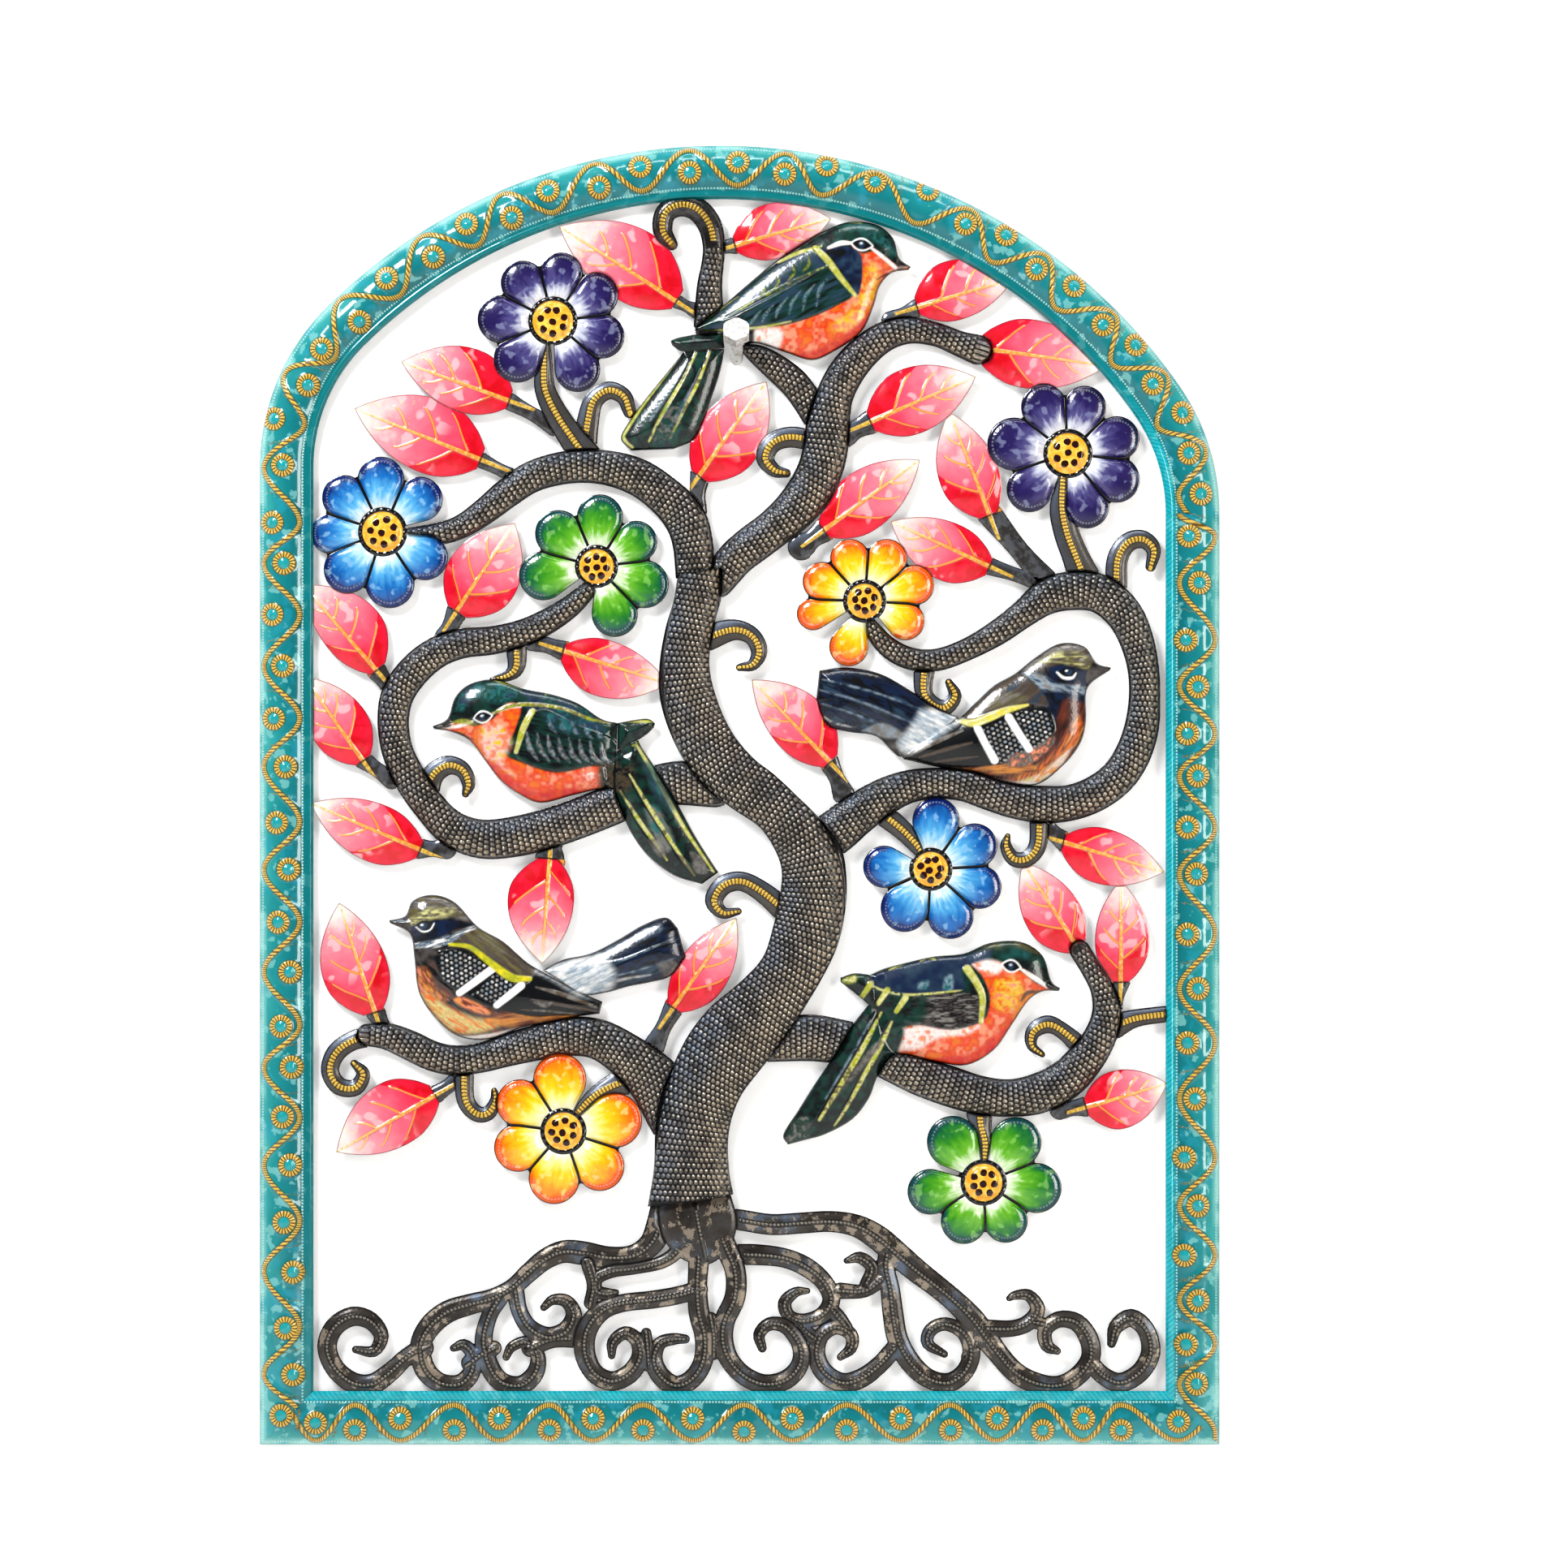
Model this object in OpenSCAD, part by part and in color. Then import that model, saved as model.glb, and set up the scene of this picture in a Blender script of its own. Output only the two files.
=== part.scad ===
// Tree-of-life wall panel: one sheet of steel, cut out, hammered into relief and painted.
// It hangs on a slanting hexagon-head screw. X is to the right, Z is up, the wall is the
// plane y = 0, and the panel stands in front of it, towards -Y.
// Panel points are [x, z] in millimetres from the middle of the bottom edge.

/* [Sheet] */
// Thickness of the steel sheet
sheet_t = 1.2; // [0.8:0.1:1.6]
// Distance from the wall to the back of the flat sheet
stand_off = 5; // [4:0.5:8]

/* [Border] */
// Width of the raised border
border_w = 36; // [34:1:36]
// Distance of the left outer edge from the centre line
left_edge = 320; // [320:1:324]
// Distance of the right outer edge from the centre line
right_edge = 318; // [318:1:322]
// Radius of the crown of the arch, at its outer edge
crown_r = 372; // [372:1:374]
// Radius of the shoulders of the arch, at their outer edge
shoulder_r = 150; // [148:1:152]

/* [Hanging screw] */
// Radius of the screw's shank
shank_r = 4.3; // [4:0.1:4.4]
// Width across the flats of its head
head_flats = 17; // [15:0.5:17]
// Thickness of its head
head_t = 7; // [5:0.5:8]
// Length of the shank inside the wall
wall_length = 40; // [25:5:60]
// Slant of the screw, its head being the higher end
slant = 30; // [28:1:32]

/* [Hidden] */
bottom_edge = 1.5;
crown_centre = [-14, 493];
hook = [-3, 724];          // where the screw's axis enters the wall
head_out = 30;             // from the wall to the middle of the head, along the screw
seam = 0.1;                // gap between the parts of one bird
clearance = 0.9;           // free room round the shank where the panel hangs on it

// ---- functions -------------------------------------------------------------------------
function turned(v) = [-v[1], v[0]];
function unit(v) = v / norm(v);
function mix(a, b, t) = a * (1 - t) + b * t;
function heading(p, i) = unit(p[min(i + 1, len(p) - 1)] - p[max(i - 1, 0)]);

// A stroke is a list of [x, z, width]. Its two edges:
function spine(s) = [for (p = s) [p[0], p[1]]];
function edge(s, side) =
    let (c = spine(s))
    [for (i = [0:len(s) - 1]) c[i] + side * turned(heading(c, i)) * s[i][2] / 2];
function stroke_crowns(s, rise) = [for (p = s) min(rise, 0.32 * p[2])];
// A form is [left edge, right edge, crown heights].
function stroke_form(s, rise) = [edge(s, 1), edge(s, -1), stroke_crowns(s, rise)];
function outline(form) = concat(form[0], [for (i = [len(form[1]) - 1:-1:0]) form[1][i]]);

// A closed outline with its points moved outwards.
function grown(pts, by) =
    let (n = len(pts))
    [for (i = [0:n - 1]) pts[i] + by * turned(unit(pts[(i + 1) % n] - pts[(i + n - 1) % n]))];

// Box of a list of points, and whether two boxes meet.
function low(pts) = [min([for (p = pts) p[0]]), min([for (p = pts) p[1]])];
function high(pts) = [max([for (p = pts) p[0]]), max([for (p = pts) p[1]])];
function meets(a, b) =
    let (al = low(a), ah = high(a), bl = low(b), bh = high(b))
    al[0] < bh[0] && bl[0] < ah[0] && al[1] < bh[1] && bl[1] < ah[1];

// ---- general modules -------------------------------------------------------------------
module placed() translate([-hook[0], 0, -hook[1]]) children();

// Prism through the whole depth of the panel, over an outline.
module prism(points) rotate([90, 0, 0]) linear_extrude(60) polygon(points);

// Hammered strip: a shell of sheet, arched between its two edges. across is its facets.
module hammered(form, across = 4) {
    left = form[0];
    right = form[1];
    rows = len(left);
    cols = across + 1;
    function at(i, j, back) =
        let (s = j / across, p = mix(left[i], right[i], s), h = form[2][i] * 4 * s * (1 - s))
        [p[0], -(stand_off + h + (back ? 0 : sheet_t)), p[1]];
    points = [for (back = [false, true], i = [0:rows - 1], j = [0:across]) at(i, j, back)];
    function v(back, i, j) = back * rows * cols + i * cols + j;
    faces = concat(
        [for (i = [0:rows - 2], j = [0:across - 1], k = [0, 1])
            k == 0 ? [v(0, i, j), v(0, i + 1, j), v(0, i + 1, j + 1)]
                   : [v(0, i, j), v(0, i + 1, j + 1), v(0, i, j + 1)]],
        [for (i = [0:rows - 2], j = [0:across - 1], k = [0, 1])
            k == 0 ? [v(1, i, j), v(1, i + 1, j + 1), v(1, i + 1, j)]
                   : [v(1, i, j), v(1, i, j + 1), v(1, i + 1, j + 1)]],
        [for (i = [0:rows - 2]) [v(0, i, 0), v(1, i, 0), v(1, i + 1, 0), v(0, i + 1, 0)]],
        [for (i = [0:rows - 2])
            [v(0, i, across), v(0, i + 1, across), v(1, i + 1, across), v(1, i, across)]],
        [for (j = [0:across - 1]) [v(0, 0, j), v(0, 0, j + 1), v(1, 0, j + 1), v(1, 0, j)]],
        [for (j = [0:across - 1])
            [v(0, rows - 1, j), v(1, rows - 1, j), v(1, rows - 1, j + 1), v(0, rows - 1, j + 1)]]
    );
    polyhedron(points, faces, convexity = 6);
}

// Cuts away every outline of the list that reaches the piece's own outline.
module cut_by(own, others) difference() {
    children();
    for (o = others) if (meets(own, o)) prism(o);
}

// ---- the drawing -----------------------------------------------------------------------
// Trunk: left edge, right edge, crown heights, from the root collar to the fork.
trunk_form = [
    [[-62, 160], [-58, 185], [-57, 210], [-54, 232], [-46, 252], [-35, 274], [-20, 293],
     [-2, 308], [14, 325], [21, 345], [26, 368], [26, 388], [14, 410], [-4, 423], [-22, 436],
     [-36, 453], [-47, 474], [-54, 498], [-54, 522], [-50, 545], [-45, 562], [-42, 580]],
    [[-5, 168], [-8, 185], [-8, 210], [-1, 232], [12, 250], [28, 270], [42, 292],
     [54, 312], [64, 333], [69, 355], [70, 378], [66, 400], [52, 418], [38, 432], [22, 447],
     [8, 458], [-6, 475], [-16, 497], [-21, 520], [-18, 545], [-13, 565], [-12, 584]],
    [for (i = [0:21]) 9 - i / 10]
];

// Limbs: [name, [[x, z, width], ...]] along the middle, from the trunk outwards.
limbs = [
    ["limb_upper_left",
     [[-30, 572, 26], [-32, 600, 27], [-38, 618, 28], [-52, 633, 26], [-70, 645, 25],
      [-92, 651, 23], [-115, 651, 22], [-138, 645, 21], [-155, 634, 20], [-170, 622, 18],
      [-185, 612, 16], [-200, 607, 15], [-226, 604, 12]]],
    ["limb_upper_right",
     [[-16, 576, 24], [-3, 591, 25], [8, 600, 26], [20, 609, 26], [33, 620, 28], [44, 633, 30],
      [52, 648, 30], [56, 663, 30], [58, 681, 29], [62, 698, 25], [70, 714, 24], [82, 728, 22],
      [96, 738, 20], [112, 742, 18], [130, 739, 16], [145, 733, 17], [157, 729, 20]]],
    ["limb_mid_left",
     [[-18, 441, 32], [-45, 441, 29], [-65, 436, 28], [-85, 427, 27], [-105, 419, 27],
      [-125, 412, 27], [-148, 406, 27], [-172, 404, 26], [-192, 411, 24], [-207, 426, 22],
      [-219, 443, 22], [-228, 462, 21], [-231, 482, 21], [-228, 500, 22], [-217, 516, 22],
      [-202, 528, 21], [-185, 534, 20], [-165, 536, 19], [-145, 541, 18], [-128, 549, 17],
      [-113, 559, 15], [-99, 572, 11]]],
    ["limb_mid_right",
     [[50, 400, 30], [63, 409, 30], [78, 421, 28], [95, 432, 25], [112, 439, 22], [130, 441, 21],
      [148, 440, 22], [165, 434, 22], [182, 429, 23], [200, 427, 25], [218, 428, 24],
      [235, 434, 24], [250, 445, 24], [260, 460, 24], [266, 478, 23], [268, 498, 21],
      [267, 518, 21], [262, 538, 23], [253, 555, 25], [238, 567, 26], [220, 569, 26],
      [203, 565, 24], [188, 554, 19], [170, 541, 17], [150, 530, 15], [130, 523, 15],
      [112, 524, 15], [97, 532, 14], [85, 546, 11]]],
    ["limb_lower_left",
     [[-40, 220, 44], [-58, 244, 36], [-76, 260, 30], [-95, 271, 27], [-115, 273, 26],
      [-135, 269, 24], [-155, 264, 22], [-172, 259, 20], [-190, 257, 20], [-205, 260, 20],
      [-220, 267, 20], [-235, 273, 18], [-248, 274, 15]]],
    ["limb_lower_right",
     [[18, 271, 30], [45, 272, 31], [62, 270, 30], [80, 266, 28], [100, 256, 26],
      [118, 247, 26], [138, 240, 27], [158, 234, 26], [178, 232, 25], [197, 235, 27],
      [215, 244, 27], [228, 257, 25], [238, 272, 22], [243, 288, 20], [240, 304, 16],
      [233, 317, 14], [225, 330, 14]]]
];

// The top limb passes behind the bird that sits on it, so it shows in two lengths.
top_limb = [
    [[52, 684, 22], [42, 698, 20], [34, 708, 20], [22, 718, 18], [12, 725, 14], [4, 729, 8]],
    [[-21, 745, 21], [-21, 770, 17], [-19, 785, 15], [-18, 798, 15], [-21, 812, 16],
     [-29, 822, 16], [-40, 825, 15], [-50, 820, 14], [-52, 808, 13], [-46, 799, 8]]
];

// Curled tendrils, in three groups by height.
tendrils = [
    ["tendrils_upper",
     [[[-105, 660, 18], [-102, 680, 15], [-98, 695, 13], [-88, 702, 12], [-78, 698, 11],
       [-74, 688, 9]],
      [[50, 668, 14], [33, 671, 14], [21, 667, 13], [16, 657, 12], [22, 649, 9], [30, 647, 6]],
      [[249, 572, 15], [250, 590, 14], [257, 601, 13], [267, 603, 12], [274, 596, 10],
       [272, 585, 7]],
      [[-22, 538, 18], [-5, 543, 14], [7, 539, 12], [12, 529, 11], [8, 520, 8],
       [-1, 518, 5]]]],
    ["tendrils_middle",
     [[[32, 354, 17], [14, 369, 14], [0, 376, 13], [-12, 373, 13], [-18, 363, 12],
       [-12, 355, 8], [-2, 356, 5]],
      [[-210, 432, 18], [-205, 446, 15], [-195, 453, 13], [-185, 450, 11], [-181, 441, 9],
       [-183, 434, 5]],
      [[-150, 538, 15], [-149, 520, 12], [-154, 513, 8], [-165, 510, 4]],
      [[122, 520, 15], [121, 503, 12], [126, 494, 12], [135, 491, 11], [142, 499, 9],
       [138, 508, 5]],
      [[198, 418, 13], [197, 400, 12], [190, 391, 11], [181, 391, 10], [176, 399, 8],
       [177, 406, 4]]]],
    ["tendrils_lower",
     [[[-243, 274, 15], [-258, 270, 13], [-269, 262, 13], [-273, 250, 12], [-267, 240, 12],
       [-256, 239, 11], [-251, 248, 9], [-257, 255, 5]],
      [[-184, 250, 13], [-183, 231, 12], [-176, 222, 11], [-168, 222, 10], [-163, 230, 8],
       [-164, 237, 4]],
      [[228, 264, 14], [213, 277, 11], [203, 281, 12], [194, 276, 10], [193, 267, 7],
       [200, 261, 4]],
      [[246, 279, 18], [262, 285, 12], [284, 288, 11]]]]
];

// Stems that carry the flowers.
flower_stems = [
    [[-131, 735, 9], [-131, 718, 12], [-130, 702, 14], [-122, 685, 16], [-112, 670, 18],
     [-102, 656, 22]],
    [[214, 648, 7], [213, 625, 16], [216, 608, 17], [222, 592, 18], [229, 575, 22]],
    [[88, 425, 16], [105, 412, 14], [115, 402, 12], [122, 393, 9]],
    [[-70, 246, 22], [-86, 240, 15], [-98, 233, 11], [-110, 221, 7]],
    [[158, 232, 22], [159, 215, 15], [162, 202, 11], [162, 185, 7]]
];

// Leaves: [name, foot of the stem, stem width, leaf base, leaf tip, width of the left half,
// width of the right half], looking from base to tip.
leaves = [
    ["leaf_01", [-30, 755], 11, [-43, 761], [-121, 811], 20, 29],
    ["leaf_02", [-16, 797], 13, [-4, 798], [60, 816], 21, 16],
    ["leaf_03", [100, 748], 14, [117, 757], [181, 776], 24, 16],
    ["leaf_04", [154, 730], 18, [157, 730], [243, 718], 24, 22],
    ["leaf_05", [68, 672], 18, [86, 681], [156, 711], 24, 20],
    ["leaf_06", [-30, 622], 15, [-28, 645], [17, 708], 21, 24],
    ["leaf_07", [205, 572], 18, [165, 619], [138, 688], 23, 17],
    ["leaf_08", [40, 598], 18, [55, 609], [119, 656], 20, 20],
    ["leaf_09", [200, 574], 13, [165, 585], [99, 615], 22, 17],
    ["leaf_10", [-124, 678], 13, [-154, 695], [-226, 721], 18, 25],
    ["leaf_11", [-148, 643], 12, [-173, 656], [-257, 690], 23, 27],
    ["leaf_12", [-197, 536], 16, [-189, 555], [-150, 614], 23, 26],
    ["leaf_13", [-230, 500], 15, [-242, 516], [-291, 573], 15, 26],
    ["leaf_14", [-232, 444], 14, [-251, 456], [-290, 512], 19, 20],
    ["leaf_15", [-196, 398], 15, [-213, 397], [-286, 428], 21, 18],
    ["leaf_16", [-127, 406], 22, [-127, 391], [-132, 321], 18, 26],
    ["leaf_17", [-138, 536], 15, [-118, 529], [-48, 507], 16, 22],
    ["leaf_18", [-234, 272], 15, [-243, 289], [-267, 362], 26, 18],
    ["leaf_19", [-186, 246], 14, [-203, 234], [-269, 196], 19, 25],
    ["leaf_20", [-58, 266], 15, [-45, 292], [-3, 352], 15, 20],
    ["leaf_21", [68, 434], 15, [59, 455], [7, 510], 17, 23],
    ["leaf_22", [200, 415], 15, [214, 402], [281, 382], 17, 20],
    ["leaf_23", [226, 328], 14, [224, 331], [187, 389], 21, 17],
    ["leaf_24", [246, 290], 15, [252, 309], [252, 377], 17, 19],
    ["leaf_25", [212, 225], 15, [229, 226], [283, 242], 18, 21]
];

// Flowers: [name, centre, radius of the eye, petals as [direction, half angle, reach]].
flowers = [
    ["flower_purple_left", [-125, 748], 15,
     [[178, 28, 50], [128, 27, 47], [80, 27, 46], [31, 27, 48], [343, 26, 49], [297, 25, 51],
      [227, 28, 50]]],
    ["flower_purple_right", [217, 660], 15,
     [[117, 26, 50], [70, 26, 47], [17, 26, 49], [332, 25, 52], [290, 23, 52], [223, 26, 50],
      [170, 29, 54]]],
    ["flower_blue_left", [-238, 608], 15,
     [[92, 27, 50], [41, 27, 48], [329, 28, 48], [278, 28, 51], [227, 28, 50], [182, 23, 48],
      [138, 26, 49]]],
    ["flower_green_left", [-96, 585], 13,
     [[86, 28, 48], [32, 27, 45], [340, 28, 50], [291, 27, 49], [190, 27, 52], [139, 28, 49]]],
    ["flower_yellow_middle", [82, 562], 13,
     [[109, 26, 43], [62, 26, 45], [18, 23, 48], [334, 25, 43], [251, 24, 45], [194, 18, 46],
      [155, 25, 44]]],
    ["flower_blue_right", [126, 384], 13,
     [[84, 29, 48], [28, 27, 48], [340, 25, 49], [293, 27, 49], [236, 31, 47], [177, 27, 45]]],
    ["flower_yellow_low", [-118, 210], 14,
     [[94, 31, 52], [12, 32, 53], [316, 29, 50], [259, 32, 49], [200, 30, 48], [147, 28, 50]]],
    ["flower_green_right", [161, 176], 14,
     [[127, 31, 51], [190, 25, 51], [243, 32, 44], [300, 30, 44], [354, 28, 52], [51, 30, 51]]]
];

// Birds: [name, body, then wing tips and tail], each a form of upper edge, lower edge and
// crown heights, from the beak backwards.
birds = [
    ["bird_top", [
        [[[113, 784], [105, 790], [101, 803], [90, 812], [72, 814], [55, 808], [40, 799],
          [22, 787], [5, 773], [-10, 760], [-22, 751], [-31, 744]],
         [[111, 782], [100, 780], [92, 771], [88, 758], [80, 741], [62, 728], [47, 722],
          [30, 727], [12, 733], [0, 733], [-12, 740], [-30, 741]],
         [0.5, 2, 5, 7, 8, 8, 7, 6, 4, 3, 2, 0.5]],
        [[[-12, 740], [-30, 739], [-42, 737], [-47, 735]],
         [[-11, 730], [-28, 728], [-40, 728], [-46, 732]],
         [2, 2, 2, 0.5]],
        [[[-38, 727.5], [-50, 713], [-63, 697], [-74, 682], [-80, 670], [-73, 662]],
         [[-11, 729.5], [-14, 714], [-20, 696], [-25, 682], [-32, 669], [-45, 663]],
         [2, 3, 4, 4, 4, 1]]]],
    ["bird_middle_left", [
        [[[-205, 479], [-195, 484], [-190, 498], [-180, 507], [-163, 510], [-145, 504],
          [-125, 500], [-108, 494], [-93, 484], [-82, 481]],
         [[-204, 477], [-192, 475], [-180, 469], [-170, 456], [-160, 443], [-148, 434],
          [-133, 428], [-112, 433], [-95, 437], [-84, 437]],
         [0.5, 2, 5, 7, 8, 8, 8, 7, 6, 5]],
        [[[-82, 481], [-72, 483], [-62, 484], [-57, 481]],
         [[-82, 463], [-68, 470], [-62, 474], [-58, 478]],
         [3, 2, 1, 0.5]],
        [[[-69, 472], [-66, 465], [-56, 450], [-43, 429], [-31, 407], [-19, 388], [-15, 382]],
         [[-84, 461], [-84, 437], [-80, 424], [-73, 408], [-62, 393], [-45, 380], [-26, 374]],
         [4, 4, 4, 4, 4, 3, 1]]]],
    ["bird_lower_right", [
        [[[212, 305], [206, 310], [200, 327], [185, 336], [165, 335], [148, 328], [128, 326],
          [110, 322], [95, 318], [86, 314]],
         [[211, 303], [201, 303], [191, 297], [180, 281], [168, 264], [150, 254], [130, 256],
          [113, 260], [100, 263], [92, 275]],
         [0.5, 2, 5, 7, 8, 8, 8, 7, 5, 4]],
        [[[90, 313], [76, 315], [66, 312]],
         [[90, 290], [76, 301], [66, 309]],
         [3, 2, 0.5]],
        [[[86, 296], [72, 278], [60, 258], [48, 240], [38, 224], [28, 208], [31, 201]],
         [[103, 262], [97, 256], [90, 245], [85, 232], [74, 218], [56, 208], [42, 204]],
         [4, 4, 4, 4, 3, 2, 1]]]],
    ["bird_lower_left", [
        [[[-234, 350], [-223, 353], [-218, 363], [-205, 367], [-190, 362], [-175, 346],
          [-158, 336], [-142, 322], [-128, 314], [-110, 304], [-92, 296]],
         [[-233, 348], [-220, 341], [-217, 325], [-214, 302], [-203, 285], [-188, 273],
          [-168, 271], [-145, 279], [-125, 283], [-110, 286], [-94, 288]],
         [0.5, 2, 5, 7, 8, 8, 8, 7, 6, 4, 1]],
        [[[-132, 317], [-118, 324], [-100, 328], [-82, 337], [-65, 347], [-50, 352], [-42, 345]],
         [[-122, 311], [-106, 301], [-90, 302], [-75, 306], [-60, 309], [-47, 313], [-37, 326]],
         [2, 3, 4, 4, 4, 3, 1]]]],
    ["bird_middle_right", [
        [[[246, 518], [236, 521], [228, 532], [212, 534], [196, 525], [182, 514], [168, 506],
          [155, 494], [144, 484], [125, 475], [105, 461]],
         [[245, 516], [233, 508], [229, 500], [229, 482], [225, 467], [213, 452], [196, 440],
          [175, 442], [155, 448], [130, 452], [108, 457]],
         [0.5, 2, 5, 7, 8, 8, 8, 7, 6, 4, 1]],
        [[[145, 485], [130, 491], [112, 503], [92, 514], [70, 518], [52, 516]],
         [[132, 474], [108, 458], [90, 472], [72, 475], [57, 480], [50, 497]],
         [2, 3, 4, 4, 4, 1]]]]
];

// Roots: flat scrolls of sheet, [x, z, width] along the middle of each.
roots = [
    ["roots_left",
     [[[-45, 160, 30], [-53, 148, 20], [-60, 135, 16], [-72, 127, 15], [-88, 126, 15],
       [-105, 129, 16], [-118, 130, 15], [-130, 125, 14], [-141, 116, 13], [-152, 106, 12],
       [-165, 99, 13], [-180, 95, 14], [-195, 90, 15], [-207, 80, 15], [-213, 67, 14],
       [-210, 52, 14], [-200, 43, 13], [-187, 42, 13], [-179, 50, 12], [-178, 61, 10],
       [-184, 68, 8], [-191, 66, 5]],
      [[-211, 66, 14], [-222, 60, 12], [-233, 50, 13], [-245, 42, 14], [-258, 43, 14],
       [-270, 53, 13], [-275, 67, 13], [-270, 80, 13], [-258, 87, 13], [-246, 84, 12],
       [-239, 74, 10], [-244, 64, 8], [-256, 65, 5]],
      [[-160, 100, 12], [-167, 88, 11], [-171, 72, 12], [-168, 56, 13], [-160, 44, 13],
       [-147, 41, 13], [-137, 49, 12], [-135, 61, 10], [-142, 70, 8], [-152, 67, 7],
       [-156, 60, 5]],
      [[-150, 104, 12], [-147, 90, 11], [-140, 79, 12], [-128, 73, 14], [-116, 77, 14],
       [-111, 88, 11], [-116, 97, 9], [-125, 98, 7], [-131, 93, 5]],
      [[-180, 56, 12], [-172, 62, 14], [-164, 66, 10]],
      [[-140, 66, 12], [-125, 72, 12], [-108, 72, 12]]]],
    ["roots_middle",
     [[[-30, 158, 50], [-28, 148, 50], [-26, 138, 34]],
      [[-30, 150, 12], [-28, 130, 14], [-29, 108, 13], [-28, 90, 14], [-24, 74, 14],
       [-25, 58, 13], [-32, 46, 13], [-43, 41, 13], [-53, 47, 13], [-58, 58, 12],
       [-54, 69, 9], [-45, 72, 8], [-37, 72, 6]],
      [[-28, 105, 12], [-42, 101, 12], [-60, 98, 12], [-78, 96, 12], [-92, 91, 13],
       [-102, 79, 14], [-104, 64, 14], [-98, 50, 13], [-86, 44, 13], [-74, 49, 13],
       [-67, 60, 12], [-69, 71, 10], [-77, 76, 9], [-85, 70, 8], [-86, 61, 5]],
      [[-34, 146, 12], [-42, 131, 10], [-53, 123, 9], [-70, 119, 8], [-86, 117, 9],
       [-96, 112, 9], [-96, 104, 9], [-89, 102, 8], [-83, 103, 4]],
      [[-100, 96, 9], [-98, 108, 9], [-102, 122, 9]],
      [[-17, 150, 14], [-11, 135, 15], [-4, 118, 14], [-4, 100, 14], [-11, 84, 14],
       [-12, 70, 14], [-7, 57, 13], [3, 47, 13], [16, 42, 13], [30, 45, 13], [39, 55, 12],
       [39, 68, 11], [30, 80, 10], [19, 82, 9], [12, 75, 8], [14, 66, 6]],
      [[-20, 86, 8], [-18, 74, 10], [-18, 62, 8]],
      [[-63, 76, 7], [-62, 66, 8], [-61, 54, 8]]]],
    ["roots_right",
     [[[-10, 152, 14], [0, 151, 14], [20, 148, 14], [40, 149, 14], [60, 150, 14],
       [77, 147, 15], [91, 139, 17], [104, 128, 17], [117, 117, 16], [130, 107, 15],
       [142, 97, 15], [153, 86, 16], [162, 74, 16], [171, 62, 14], [182, 50, 14],
       [195, 43, 14], [210, 41, 13], [223, 47, 13], [232, 59, 13], [231, 72, 13],
       [223, 83, 12], [211, 85, 11], [202, 78, 10], [203, 68, 9], [210, 64, 5]],
      [[-6, 128, 14], [10, 128, 14], [28, 126, 13], [43, 120, 13], [55, 110, 12],
       [60, 98, 12], [54, 88, 11], [42, 84, 10], [32, 87, 9], [29, 96, 9], [36, 103, 7],
       [44, 104, 4]],
      [[98, 132, 12], [96, 120, 12], [99, 105, 13], [101, 88, 14], [104, 72, 14],
       [112, 57, 14], [124, 46, 13], [138, 43, 13], [149, 51, 12], [153, 64, 12],
       [148, 76, 10], [136, 82, 9], [126, 78, 9], [124, 69, 8], [135, 62, 5]],
      [[102, 66, 12], [92, 55, 12], [80, 46, 13], [67, 43, 13], [55, 50, 13], [50, 62, 12],
       [53, 74, 11], [63, 80, 10], [73, 75, 9], [73, 66, 8], [66, 60, 5]],
      [[94, 112, 10], [82, 104, 9], [66, 104, 11]],
      [[83, 108, 9], [87, 119, 9], [79, 126, 8], [70, 124, 4]],
      [[60, 92, 9], [65, 86, 10], [70, 80, 8]],
      [[38, 82, 8], [44, 76, 10], [50, 72, 8]],
      [[163, 79, 12], [180, 79, 11], [191, 83, 11], [197, 92, 10], [191, 101, 8],
       [182, 101, 6], [178, 99, 4]],
      [[192, 84, 9], [200, 82, 9]],
      [[231, 58, 11], [240, 48, 12], [252, 43, 13], [265, 50, 13], [272, 63, 13],
       [269, 78, 12], [259, 86, 12], [249, 80, 10], [246, 69, 6]],
      [[150, 60, 8], [157, 70, 8]]]]
];

// ---- shapes worked out from the drawing ------------------------------------------------
// Border: the middle line of its sheet in section, as [across the border, off the wall].
border_section = [
    for (p = [[0.6, 0.5], [0.6, 3.5], [3, 5.6], [6, 8], [11, 10.9], [17, 12], [23, 10.9],
              [28, 8.2], [31, 6.9], [33, 7.4], [34.8, 5.6], [36, 5.6]])
        [p[0] < 1 ? p[0] : p[0] * border_w / 36, p[1] + (p[0] < 1 ? 0 : stand_off - 5),
         sheet_t]
];
left_centre = let (reach = crown_r - shoulder_r, dx = shoulder_r - left_edge - crown_centre[0])
    crown_centre + [dx, sqrt(reach * reach - dx * dx)];
right_centre = let (reach = crown_r - shoulder_r, dx = right_edge - shoulder_r - crown_centre[0])
    crown_centre + [dx, sqrt(reach * reach - dx * dx)];
left_turn = atan2(left_centre[1] - crown_centre[1], left_centre[0] - crown_centre[0]);
right_turn = atan2(right_centre[1] - crown_centre[1], right_centre[0] - crown_centre[0]);
function arc(c, r, from, to, steps) =
    [for (k = [0:steps]) let (a = mix(from, to, k / steps)) c + r * [cos(a), sin(a)]];
// The opening inside the border.
opening = concat(
    [[-left_edge + border_w, bottom_edge + border_w], [right_edge - border_w, bottom_edge + border_w]],
    arc(right_centre, shoulder_r - border_w, 0, right_turn, 8),
    arc(crown_centre, crown_r - border_w, right_turn, left_turn, 40),
    arc(left_centre, shoulder_r - border_w, left_turn, 180, 8)
);

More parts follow.
